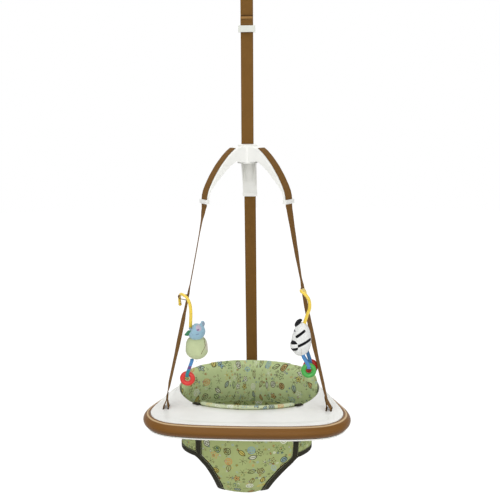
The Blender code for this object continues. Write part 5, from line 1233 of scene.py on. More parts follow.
    def build(self, palette: Palette, corners: SoftCorners) -> None:
        """Builds deck, base plate and bumper."""
        white = palette["white_moulding"]
        rings = self.deck()
        deck = skinned("tray_deck", rings, self.unmapped(rings), white, closed=True)
        tool = self.slots()
        cut = deck.modifiers.new("slots", "BOOLEAN")
        cut.object, cut.operation, cut.solver = tool, "DIFFERENCE", "EXACT"
        bake(corners.soften(deck, white, MOULDED_CORNER))
        bpy.data.objects.remove(tool)
        settle(deck, Body.SEAT, "tray_top_shell")
        outline = self.outline()
        top = self.bumper_z - self.bumper_half - 2 * self.gap
        foot = top - self.plate
        rings = []
        for k, out in enumerate(self.inset(outline, self.plate_inset)):
            rim = self.rim_point(math.tau * k / self.stations)
            line = (out - rim).normalized()
            rings.append([rim + UP * top, rim + UP * foot, out - line * 0.002 + UP * foot,
                          out - line * 0.0006 + UP * (foot + 0.0006), out + UP * (foot + 0.002), out + UP * top])
        plate = skinned("tray_base_plate", rings, self.unmapped(rings), white, closed=True)
        settle(bake(corners.soften(plate, white, MOULDED_CORNER)), Body.SEAT, "tray_bottom_plate")
        section = smooth_route([(w, h, 0) for w, h in self.girth], 3)
        far = distances([Vector((p.x * self.bumper_width, p.y * self.bumper_half, 0)) for p in section])
        rings, marks = [], []
        for k, (out, line) in enumerate(zip(outline, headings(outline, True))):
            inward = Vector((-line.y, line.x, 0)).normalized()
            rings.append([out - inward * (p.x * (self.bumper_width - self.gap)) +
                          UP * (self.bumper_z + self.bumper_half * p.y) for p in section])
            marks.append([(d, k * 0.01) for d in far])
        bumper = skinned("soft_bumper", rings, marks, palette["bumper_brown"], closed=True)
        settle(bumper, Body.SEAT, "bumper")


class Winder(Graph):
    """Geometry Nodes that wind a round wire into a coil."""

    def __init__(self) -> None:
        """Builds the tree with its named inputs."""
        super().__init__("wire_coil", *((label, "Float") for label in ("Turns", "Radius", "Pitch", "Wire", "Top")),
                         ("Finish", "Material"))
        turns, radius, pitch, wire, top = list(self.given)[:5]
        tall = self.add("ShaderNodeMath", {0: turns, 1: pitch}, operation="MULTIPLY")
        foot = self.add("ShaderNodeMath", {0: top, 1: tall}, operation="SUBTRACT")
        spiral = self.add("GeometryNodeCurveSpiral", {"Resolution": 20, "Reverse": True, "Rotations": turns,
                                                      "Start Radius": radius, "End Radius": radius, "Height": tall})
        place = self.add("ShaderNodeCombineXYZ", {"Z": foot})
        moved = self.add("GeometryNodeTransform", {"Geometry": spiral, "Translation": place})
        section = self.add("GeometryNodeCurvePrimitiveCircle", {"Resolution": 10, "Radius": wire})
        tube = self.add("GeometryNodeCurveToMesh", {"Curve": moved, "Profile Curve": section, "Fill Caps": True})
        self.close(self.add("GeometryNodeSetShadeSmooth", {"Geometry": tube}))


@dataclass
class SpringUnit:
    """Coil spring, gathered sleeve and slack safety tether, which stretch as the seat bounces."""

    top: float = -0.2338
    pitch: float = 0.0035
    curls: int = 22
    coil: float = 0.0105
    wire: float = 0.0015
    sleeve_bore: float = 0.0127
    sleeve_wall: float = 0.0011
    gather: float = 0.0015
    gathers: int = 15
    tether: float = 0.0018
    fixed: float = -0.232
    free: float = -0.3126

    def build(self, palette: Palette) -> None:
        """Builds the three pieces."""
        core = linked("coil_spring", bpy.data.meshes.new("coil_spring_core"))
        spring = bake(Winder().wear(core, Turns=float(self.curls), Radius=self.coil, Pitch=self.pitch,
                                    Wire=self.wire, Top=self.top, Finish=palette["zinc_wire"]))
        self.link(spring, "bounce_spring", "steel")
        low, high = self.free + 0.0004, self.fixed - 0.0004
        count, sides = self.gathers * 8, 48
        rings, marks, profile = [], [], []
        for share in spread(0, 1, count):
            fold = 0.5 - 0.5 * math.cos(math.tau * self.gathers * share)
            profile.append((self.sleeve_bore + self.sleeve_wall + self.gather * fold, low + (high - low) * share))
        profile += [(self.sleeve_bore, high), (self.sleeve_bore, low)]
        for turn in spread(0, math.tau, sides)[:-1]:
            ring = []
            for n, (radius, z) in enumerate(profile):
                pucker = 1 + 0.018 * math.sin(turn * 11 + z * 900) if n <= count else 1.0
                ring.append(Vector((radius * pucker * math.cos(turn), radius * pucker * math.sin(turn), z)))
            rings.append(ring)
            marks.append([(turn * self.sleeve_bore, z) for _, z in profile])
        sleeve = skinned("gathered_sleeve", rings, marks, palette["sleeve_knit"], closed=True)
        self.link(sleeve, "spring_sleeve", "webbing")
        top, low = self.fixed - 0.0105, self.free + 0.0105
        line = [Vector((0.0035 * math.sin(math.tau * 3 * s) * math.sin(math.pi * s), 0, top + (low - top) * s))
                for s in spread(0, 1, 60)]
        radii = [self.tether] * len(line)
        tether = rounded_bar("slack_tether", line, radii, palette["brown_webbing"], RIGHT, sides=12)
        self.link(tether, "safety_tether", "webbing")

    def link(self, piece: Piece, node: str, slot: str) -> None:
        """Hides the piece's CAD node and bakes the piece's placement into its mesh."""
        stretch(piece, node)


@dataclass
class Webs:
    """The main strap, its folded return, the three tray straps and the toy tabs."""

    width: float = 0.0324
    thickness: float = 0.0016
    gap: float = 0.0003
    ring_z: float = -0.362
    ring_wire: float = 0.0026
    buckle_top: float = -0.4624
    buckle_height: float = 0.0165
    buckle_bar: Pair = (-0.0018, 0.0013)
    main_y: float = 0.0030
    return_y: float = 0.0004
    fold_y: float = -0.0041
    fold_top: float = -0.4395
    crown_top: float = -0.766
    crown_reach: float = 0.1275
    crown_drop: float = 0.146
    crown_bar: float = 0.003
    main_bar_drop: float = 0.026
    arm_bar: Pair = (0.034, 0.030)
    keeper: float = 0.011
    split: float = 0.021
    stitch: Triple = (0.0026, 0.0009, 0.0007)
    hem_stitch: Triple = (0.0025, 0.0009, 0.0006)
    pitch: float = 0.0031
    seam: float = 0.016
    bows: Triple = (0.0040, 0.0060, 0.0030)
    leans: Triple = (0.0035, 0.0088, 0.0)
    hem_roll: Tuple[Pair, ...] = (
        (0.0006, -0.0004), (-0.0016, -0.0012), (-0.0022, -0.0032), (-0.0016, -0.0052), (0.0, -0.0062))
    deck: float = 0.003
    # shares of the crown arm's reach and drop, from its slot to its tip
    over_arm: Tuple[Pair, ...] = (
        (0.345, 0.066), (0.424, 0.120), (0.520, 0.200), (0.614, 0.295), (0.690, 0.378), (0.758, 0.468),
        (0.822, 0.556), (0.875, 0.642), (0.930, 0.735), (0.968, 0.815), (0.992, 0.900), (1.0, 0.975))
    # each strap's height, and how many degrees its width turns from front-to-back there
    left_turns: Tuple[Pair, ...] = (
        (-0.912, 30), (-0.936, 24), (-0.965, 12), (-1.000, 8), (-1.130, 8), (-1.155, 14), (-1.169, 14),
        (-1.200, 16), (-1.228, 23), (-1.285, 23), (-1.335, 18), (-1.400, 16), (-1.430, 3.3))
    right_turns: Tuple[Pair, ...] = (
        (-0.912, 30), (-0.936, 27), (-0.990, 21), (-1.040, 17), (-1.090, 10), (-1.115, 7), (-1.137, 14),
        (-1.151, 14), (-1.190, 18), (-1.280, 20), (-1.340, 13), (-1.395, 12), (-1.430, 7.7))

    def arc(self, centre: Pair, radius: float, start: float, stop: float, steps: int) -> List[Vector]:
        """Points in the YZ plane round a centre, by degrees from +Y towards +Z."""
        turns = (math.radians(turn) for turn in spread(start, stop, steps))
        return [Vector((0, centre[0] + radius * math.cos(t), centre[1] + radius * math.sin(t))) for t in turns]

    def main_route(self) -> List[Vector]:
        """From the ring down to the crown's bar."""
        wrap = self.ring_wire + self.gap + self.thickness / 2
        bar = self.crown_bar + self.gap + self.thickness / 2
        low = self.buckle_top - self.buckle_height
        points = self.arc((0, self.ring_z), wrap, 84, 0, 10)
        points += [Vector((0, self.main_y, z)) for z in (self.ring_z - wrap * 6, self.buckle_top, low)]
        points += [Vector((0, self.main_y, self.crown_top + 0.060)), Vector((0, bar, self.crown_top))]
        return points + self.arc((0, self.crown_top - self.main_bar_drop), bar, 0, -250, 24)

    def return_route(self) -> List[Vector]:
        """From the ring down behind the front ply, round the buckle's bar and up to the fold."""
        wrap = self.ring_wire + self.gap + self.thickness / 2
        centre_z = self.buckle_top - self.buckle_height / 2
        under = self.buckle_bar[1] + self.gap + self.thickness / 2
        points = self.arc((0, self.ring_z), wrap, 96, 180, 10)
        points += [Vector((0, self.return_y, self.fold_top)), Vector((0, self.return_y, centre_z))]
        points += self.arc((self.buckle_bar[0], centre_z), under, -15, -165, 12)
        return points + [Vector((0, self.fold_y, self.buckle_top)), Vector((0, self.fold_y, self.fold_top))]

    def arm_route(self, angle: float) -> List[Vector]:
        """From an arm's bar, out of its slot, over the arm and through its keeper."""
        wrap = self.crown_bar + self.gap + self.thickness / 2
        bar = (self.arm_bar[0], self.crown_top - self.arm_bar[1])
        flat = [(p.y, p.z) for p in self.arc(bar, wrap, 360, 115, 18)]
        flat += [(self.crown_reach * a, self.crown_top - self.crown_drop * b) for a, b in self.over_arm]
        tip = self.crown_top - self.crown_drop
        flat += [(self.crown_reach, tip), (self.crown_reach, tip - self.keeper)]
        return [Vector((r * math.cos(angle), r * math.sin(angle), z)) for r, z in flat]

    def tray_route(self, angle: float, place: Vector, outward: Vector) -> Tuple[List[Vector], List[Vector], Vector]:
        """The whole route of a tray strap.

        Args:
            angle: the crown arm's direction.
            place: the anchor on the tray's deck.
            outward: the direction outwards there.

        Returns:
            Points, width directions, and the width direction at the tray.
        """
        route = self.arm_route(angle)
        arm_side = Vector((-math.sin(angle), math.cos(angle), 0))
        side = Vector((-outward.y, outward.x, 0))
        wide = [arm_side] * len(route)
        start, seam_top, split = route[-1], place + UP * (self.split + self.seam), place + UP * self.split
        bow, low = self.bows[self.hand(outward)], self.leaned(seam_top, place, outward)
        for i in range(1, 61):
            share = i / 60
            point = start.lerp(low, share) - outward * (bow * math.sin(math.pi * share))
            route.append(point)
            wide.append(self.turned(point.z, outward.x, arm_side.lerp(side, ease(share))))
        half, turn = LEG_SPACING / 2, self.thickness
        ply = self.thickness + 2 * self.gap
        bottom = -(self.deck + self.gap * 2 + self.thickness / 2)
        legs = [split, place + outward * half + UP * self.deck, place + outward * half + UP * (bottom + turn)]
        legs += [place + outward * (half - turn) + UP * bottom, place - outward * (half - turn) + UP * bottom]
        legs += [place - outward * half + UP * (bottom + turn), place - outward * half + UP * self.deck]
        legs += [split - outward * ply - UP * ply * 2, seam_top - outward * ply]
        legs = [self.leaned(p, place, outward) for p in legs]
        return route + legs, wide + [side] * len(legs), side

    def hand(self, outward: Vector) -> int:
        """0 for the left strap, 1 for the right one and 2 for the rear."""
        return 2 if abs(outward.x) < 0.5 else int(outward.x > 0)

    def leaned(self, at: Vector, foot: Vector, outward: Vector) -> Vector:
        """A point of a strap's sewn foot, moved inwards as the strap above it leans."""
        share = held((at.z - foot.z) / (self.split + self.seam))
        return at - outward * (self.leans[self.hand(outward)] * share)

    def turned(self, height: float, hand: float, plain: Vector) -> Vector:
        """The width direction of a hanging strap, which twists between its fixings.

        Args:
            height: the height on the strap.
            hand: below 0 for the left strap, above 0 for the right one, 0 for the rear.
            plain: the direction where no twist is listed.

        Returns:
            The direction across the strap.
        """
        if abs(hand) < 0.5:
            return plain
        turns = self.left_turns if hand < 0 else self.right_turns
        for (high, first), (low, last) in zip(turns, turns[1:]):
            if height >= low:
                angle = math.radians(first + (last - first) * ease((high - height) / (high - low)))
                return Vector((math.sin(angle), math.cos(angle) * (-1 if hand < 0 else 1), 0))
        return plain

    def build(self, palette: Palette, repeater: Repeater) -> None:
        """Builds every strap with its sewing."""
        brown = palette["brown_webbing"]
        band = Band(self.width, self.thickness)
        for name, node, route, body, start, end in (
            ("long_strap", "main_strap", self.main_route(), Body.SEAT, -0.4650, -0.7600),
            ("folded_strap", "main_strap_return", self.return_route(), Body.BUCKLE, -0.3680, -0.4600),
        ):
            points, sides = lerp_route(route, [RIGHT] * len(route), step=0.006)
            piece = band.build(name, points, sides, brown)
            stretch(piece, node)
        self.hem(palette, repeater)
        marks: List[Stitch] = []
        self.routes: Dict[str, Route] = {}
        for label, angle in (("left", 210), ("right", 330), ("rear", 90)):
            place, outward = Vector((*FEET[label], DECK_Z)), foot_facing(*FEET[label])
            route, wide, side = self.tray_route(math.radians(angle), place, outward)
            self.routes[label] = route
            points, sides = lerp_route(route, wide, step=0.010)
            node = "rear_strap" if label == "rear" else f"side_strap_{label}"
            piece = band.build(f"tray_strap_{label}", points, sides, brown)
            settle(piece, Body.SEAT, node)
            marks += [(self.leaned(p, place, outward), t, n) for p, t, n in self.box_seam(place, outward, side)]
        repeater.sew("tray_strap_seams", marks, self.stitch, palette["stitch_thread"], 5, Body.SEAT)
        self.tabs(palette)

    def hem(self, palette: Palette, repeater: Repeater) -> None:
        """The folded end above the buckle: a dark strip of painted shadow along its top, a rolled hem in paler
        webbing as a painted highlight, and its stitches.
        """
        y, top = self.fold_y - self.thickness / 2 - 0.0003, self.fold_top
        # painted shadow: a dark strip along the top of the fold
        ends = [Vector((x, y - 0.0001, top + 0.0010)) for x in (-0.0158, -0.0152, 0.0152, 0.0158)]
        edge = rounded_bar("fold_shadow_strip", ends, (0.0005, 0.0014, 0.0014, 0.0005), palette["fold_shadow_webbing"], UP)
        route = [Vector((0, y + dy, top + dz)) for dy, dz in self.hem_roll]
        route = smooth_route(route, 3)
        # the rolled hem takes the paler webbing: painted highlight
        roll = Band(self.width * 0.99, 0.0012).build("fold_hem", route, [RIGHT] * len(route), palette["hem_highlight_webbing"])
        rows = []
        for z in (-0.0085, -0.0185):
            line = [Vector((x, y - 0.0002, top + z)) for x in (-0.0145, 0.0145)]
            rows += stitch_marks(line, lambda p: FRONT, self.pitch)
        for piece in (edge, roll):
            settle(piece, Body.BUCKLE)
        repeater.sew("fold_hem_seam", rows, self.hem_stitch, palette["stitch_thread"], 7, Body.BUCKLE)

    def box_seam(self, place: Vector, outward: Vector, side: Vector) -> List[Stitch]:
        """A sewn box with a cross in it, on the outer ply above a tray anchor."""
        half, low, high = self.width / 2 - 0.0040, self.split + 0.0015, self.split + self.seam - 0.0010
        lean = outward * (self.thickness / 2 + 0.0001)
        corners = {k: place + lean + side * (half * k[0]) + UP * (high if k[1] else low)
                   for k in ((-1, 0), (1, 0), (1, 1), (-1, 1))}
        lines = [((-1, 0), (1, 0)), ((1, 0), (1, 1)), ((1, 1), (-1, 1)), ((-1, 1), (-1, 0)), ((-1, 0), (1, 1)),
                 ((1, 0), (-1, 1))]
        found = []
        for a, b in lines:
            found += stitch_marks([corners[a], corners[b]], lambda p: outward, self.pitch)
        return found

    def tabs(self, palette: Palette) -> None:
        """The short loops sewn to the side straps that the toy hooks pass through."""
        wrap, rise = 0.0035 + 0.0013 + self.thickness / 2, (0.22043, 0.04314, 0.97445)
        for label, sign, hook in (("left", 1, Vector((-0.1745, -0.0830, -1.1620))),
                                  ("right", -1, Vector((0.1475, -0.0720, -1.1440)))):
            upward = Vector((sign * rise[0], *rise[1:]))
            wide = Vector((0.45136, -0.88933 * sign, 0))
            outward = wide.cross(upward).normalized()
            outward = -outward if outward.x > 0 else outward
            strap = min(self.routes[label], key=lambda p, z=hook.z: abs(p.z - z))
            root = hook + outward * ((strap - hook).dot(outward) + self.thickness + self.gap * 2)
            points = [hook + outward * wrap * math.cos(t) + upward * wrap * math.sin(t)
                      for t in spread(-math.pi / 2, math.pi / 2, 16)]
            points += [root + upward * wrap * 1.3, root, root - upward * wrap * 1.3]
            tab = Band(0.009, self.thickness, 4).build(f"toy_tab_{label}", points, [wide] * len(points),
                                                       palette["brown_webbing"], closed=True)
            settle(tab, Body.SEAT, f"{label}_strap_tab")


@dataclass
class ClothSeat:
    """The hanging cloth seat: panels, waist band, tapes, leg bindings, back pad and front roll."""

    half_width: float = 0.194
    half_depth: float = 0.121
    centre_y: float = 0.027
    cloth: float = 0.003
    gap: float = 0.0003
    bowl_z: float = -1.612
    bowl: float = 0.137
    top_z: float = -1.4705
    tape_x: float = 0.136
    tape: float = 0.018
    rear_top: float = 0.168
    binding: float = 0.016
    binding_gap: float = 0.0018
    lap: float = 0.007
    sway: float = -0.010
    sink: float = 0.002
    tape_stitch: Triple = (0.0024, 0.0008, 0.0006)
    cuff_stitch: Triple = (0.0025, 0.0008, 0.0007)
    drift: float = 0.014
    bowl_drift: float = 0.016
    # the panels' half width round the bowl, as shares of their width at its edge
    front_shares: Tuple[float, ...] = (1.0, 0.81, 0.69, 0.60, 0.54, 0.50, 0.475, 0.46, 0.45, 0.445, 0.441)
    rear_shares: Tuple[float, ...] = (0.0, 0.01, 0.04, 0.09, 0.17, 0.27, 0.39, 0.52, 0.66, 0.80, 0.92)

    def rim(self, angle: float, inset: float) -> Vector:
        """A point of the opening's rim; angle 0 is the front."""
        x = (self.half_width - inset) * math.sin(angle)
        return Vector((x, self.centre_y - (self.half_depth - inset) * math.cos(angle), 0))

    def point(self, x: float, turn: float, z: Optional[float] = None) -> Vector:
        """A point of the seat: front wall, bowl by turn from 0 to pi, and rear wall."""
        inset = self.cloth / 2 + self.gap
        pinch = math.sqrt(max(0.0, 1 - (x / (self.half_width - inset)) ** 2))
        y = self.centre_y - (self.half_depth - inset) * pinch * math.cos(turn)
        if z is not None:
            return Vector((x, y, z))
        deep = pinch * math.sin(turn)
        return Vector((x + self.sway * deep, y, self.bowl_z - (self.bowl + self.sink) * deep))

    def drifted(self, place: Vector) -> Vector:
        """The right side of the cloth hangs a little further in below the tray."""
        below, bowl = ease((-1.478 - place.z) / 0.03), ease((-1.560 - place.z) / 0.19)
        side = self.drift * ease((place.x - 0.10) / 0.09) * below + self.bowl_drift * ease(place.x / 0.05) * bowl
        return place - RIGHT * side

    def read(self, values: Sequence[float], share: float) -> float:
        """Reads evenly spaced values at a share from 0 to 1."""
        place = held(share) * (len(values) - 1)
        low = min(int(place), len(values) - 2)
        return values[low] + (values[low + 1] - values[low]) * (place - low)

    def edge(self, turn: float) -> float:
        """Half width of the panels by turn, without the binding."""
        front = (self.tape_x - self.tape / 2 - self.gap) * self.read(self.front_shares, turn / (math.pi / 2))
        if turn < math.pi / 2:
            return front
        share = (turn - math.pi / 2) / (math.pi / 2)
        return front + (self.rear_top - front) * self.read(self.rear_shares, share)

    def build(self, palette: Palette, repeater: Repeater) -> None:
        """Builds the seat's pieces."""
        self.panels(palette["leaf_print"])
        for label, side in (("left", -1), ("right", 1)):
            self.side_tape(label, side, palette, repeater)
            self.leg_binding(label, side, palette, repeater)
        self.back_pad(palette)
        self.front_roll(palette)

    def panels(self, print_cloth: Look) -> None:
        """Front panel, rear panel and waist band."""
        shares = spread(-1, 1, 40)
        inner = self.tape_x - self.tape / 2 - self.gap
        grid = [[self.point(inner * s, 0, self.top_z + (self.bowl_z - self.top_z) * i / 14) for s in shares]
                for i in range(14)]
        for i in range(37):
            turn = math.pi / 2 * i / 36
            half = self.edge(turn - 1e-9) + self.lap * min(1.0, i / 3)
            grid.append([self.point(half * s, turn - (0.0022 if i == 36 else 0)) for s in shares])
        self.lay("front_seat_cloth", "seat_front_panel", grid, print_cloth)
        grid = []
        for i in range(37):
            turn = math.pi / 2 + math.pi / 2 * i / 36
            half = self.edge(turn) + self.lap * min(1.0, (36 - i) / 3)
            grid.append([self.point(half * s, turn + (0.0044 if i == 0 else 0)) for s in shares])
        foot = self.bowl_z + self.binding / 2 + self.gap
        grid.append([self.point((self.rear_top - self.binding) * s, math.pi, foot) for s in shares])
        self.lay("rear_seat_cloth", "seat_rear_panel", grid, print_cloth)
        reach = self.half_width - self.cloth / 2 - self.gap
        start = math.asin((self.tape_x + self.tape / 2 + self.gap) / reach)
        foot = self.bowl_z + self.binding / 2 + self.gap * 2
        tops = [self.rim(start + (math.tau - 2 * start) * j / 110, self.cloth / 2 + self.gap) for j in range(111)]
        feet = [foot - 0.0058 * ease((self.centre_y + 0.052 - top.y) / 0.015) for top in tops]
        grid = [[top + UP * (self.top_z + (low - self.top_z) * i / 12) for top, low in zip(tops, feet)]
                for i in range(13)]
        self.lay("waist_cloth", "seat_waist_band", grid, print_cloth)

    def lay(self, name: str, node: str, grid: List[List[Vector]], look: Look) -> None:
        hung = [[self.drifted(place) for place in row] for row in grid]
        piece, flat, area = cloth_sheet(name, hung, self.cloth * 0.8, look, ripple=0.0011)
        settle(piece, Body.SEAT, node)
        min(area, flat[0] * flat[1])
        LOG.info("%s lies flat at %.3f x %.3f m, %.4f m2", name, *flat, area)

    def side_tape(self, label: str, side: int, palette: Palette, repeater: Repeater) -> None:
        """A dark tape down the side of the front panel, tucked over the rim."""
        foot = self.bowl_z - 0.004
        at, before, after = (self.point(side * (self.tape_x + d), 0, 0) for d in (0, -self.tape / 2, self.tape / 2))
        across = (after - before).normalized()
        outward = Vector((across.y, -across.x, 0)) * side
        crest = DECK_Z + self.cloth * 1.15
        route = [at + UP * foot, at + UP * self.top_z, at + UP * DECK_Z]
        route += [at + outward * self.cloth * 0.4 + UP * crest, at + outward * 0.012 + UP * crest]
        points, sides = lerp_route(route, [across] * len(route), step=0.004)
        points = [self.drifted(point) for point in points]
        width = (after - before).length - 2 * self.gap
        piece = Band(width, self.cloth * 0.85).build(f"side_tape_{label}", points, sides, palette["dark_binding"])
        settle(piece, Body.SEAT, f"seat_tape_{label}")
        rows = []
        for edge in (-1, 1):
            heights = spread(foot + 0.002, self.top_z - 0.002, 16)
            line = [self.drifted(at + UP * z) + across * (edge * (width / 2 - 0.0018)) for z in heights]
            for face in (-1, 1):
                out = outward * -face
                rows += stitch_marks(line, lambda p, o=out: o, pitch=0.0032, lift=self.cloth * 0.43)
        thread = palette["pale_thread"]
        repeater.sew(f"side_tape_seam_{label}", rows, self.tape_stitch, thread, 11, Body.SEAT)

    def cuff_width(self, place: Vector) -> float:
        """The width of a leg's binding: slim on the front flap, wide round the bowl, and between them at the rear."""
        low = ease((self.bowl_z + 0.040 - place.z) / 0.10)
        start = 1.14 - 0.34 * ease((self.centre_y + 0.03 - place.y) / 0.05)
        return self.binding * (start + (1.40 - start) * low)

    def leg_binding(self, label: str, side: int, palette: Palette, repeater: Repeater) -> None:
        """The gathered dark band round a leg hole."""
        half = self.binding / 2 + self.binding_gap
        inset = self.cloth / 2 + self.gap
        edge = [self.point(side * self.edge(turn), turn) for turn in spread(0, math.pi, 80)[:-1]]
        edge_count = len(edge)
        reach = self.half_width - inset
        first = math.asin((self.tape_x + self.binding * 0.3) / reach)
        last = math.pi - math.asin((self.rear_top + half) / reach)
        for place in (self.rim(turn, inset) for turn in spread(last, first, 24)):
            edge.append(Vector((side * place.x, place.y, self.bowl_z)))
        centre = Vector((side * self.half_width / 2, self.centre_y, self.bowl_z))
        points, across = [], []
        for i, (point, tangent) in enumerate(zip(edge, headings(edge, closed=True))):
            normal = Vector((point.x / self.half_width**2, (point.y - self.centre_y) / self.half_depth**2, 0))
            normal.z = min(0.0, (point.z - self.bowl_z) / self.bowl**2)
            wide = UP.copy() if i >= edge_count else tangent.cross(normal).normalized()
            if wide.dot(across[-1] if across else point - centre) < 0:
                wide = -wide
            across.append(wide)
            points.append(point - wide * half if i < edge_count else point)
        count = len(points)
        means = ((points[i - 1] + points[i] + points[(i + 1) % count]) / 3 for i in range(count))
        smooth = [self.drifted(mean) for mean in means]
        widths = [self.cuff_width(p) for p in smooth]
        piece = Band(self.binding, 0.0036, 8, 0.12).build(f"leg_cuff_{label}", smooth, across,
                                                          palette["dark_binding"], True, widths)
        settle(piece, Body.SEAT, f"leg_binding_{label}")
        rows = []
        for face in (-1, 1):
            line = []
            for point, tangent, wide in zip(smooth, headings(smooth, True), across):
                wide = (wide - tangent * wide.dot(tangent)).normalized()
                deep = tangent.cross(wide).normalized() * (0.0019 * face)
                line.append(point + wide * (self.binding / 2 - 0.0022) + deep)
            middle = Vector((side * self.half_width * 0.55, self.centre_y, self.bowl_z))
            rows += stitch_marks(line, lambda p, m=middle: p - m, pitch=0.0036)
        thread = palette["pale_thread"]
        repeater.sew(f"leg_cuff_seam_{label}", rows, self.cuff_stitch, thread, 13, Body.SEAT)

    def back_pad(self, palette: Palette) -> None:
        """The padded back, swelled from its solid and then sewn down in channels."""

        def room(place: Vector, out: Vector) -> float:
            """The pad swells inwards, less towards the collar and hardly upwards."""
            radial = Vector((place.x / self.half_width, (place.y - self.centre_y) / self.half_depth, 0)).normalized()
            if out.z > 0.55:
                return 0.0006
            return 0.0045 if out.dot(radial) < 0.25 else 0.0030 if place.z > DECK_Z else 0.0008

        filling = Stuffing(voxel=0.0034, pressure=4.0, swell=0.0045, inset=0.0003)
        # the pad takes the paler copy of the seat print: painted light
        piece = filling.fill("seat_back_pad", "back_cushion", palette["pad_print_painted_light"], room)
        channels, mean = (-1.13, -0.42, 0.42, 1.13), 0.157
        for vert in piece.data.vertices:
            turn = math.atan2(vert.co.x, vert.co.y - self.centre_y)
            radial = Vector((vert.co.x, vert.co.y - self.centre_y, 0)).normalized()
            near = min(abs(turn - c) for c in channels) * mean
            if vert.normal.dot(radial) < -0.3 and near < 0.010:
                vert.co += radial * (0.0024 * (1 - near / 0.010) ** 2)
            vert.co += vert.normal * noise.noise(vert.co * 34.0) * 0.0006
            rise = held((vert.co.z + 1.450) / 0.050)
            vert.co.z -= 0.006 * rise * rise
        layer = piece.data.uv_layers.new(name="cloth")
        for loop in piece.data.loops:
            co = piece.data.vertices[loop.vertex_index].co
            layer.data[loop.index].uv = (math.atan2(co.x, co.y - self.centre_y) * mean, co.z)
        refine(piece)
        settle(piece, Body.SEAT, "seat_back_pad")

    def front_roll(self, palette: Palette) -> None:
        """The pale rolled hem over the front rim."""
        limit = math.asin((self.tape_x - self.tape / 2 - self.gap * 4) / self.half_width)
        radius = 0.0055
        points, radii = [], []
        for i, angle in enumerate(spread(-limit, limit, 90)):
            wobble = noise.noise(Vector((i * 0.17, 0.3, 0.1))) * 0.0007
            points.append(self.rim(angle, -radius * 0.2) + UP * (DECK_Z + radius + self.gap + wobble))
            end = min(1.0, 0.55 + min(i, 90 - i) / 8)
            radii.append((radius - 0.0003 + wobble * 0.5) * end)
        piece = rounded_bar("front_hem_roll", points, radii, palette["pale_print"], UP, sides=20)
        settle(piece, Body.SEAT, "seat_front_roll")


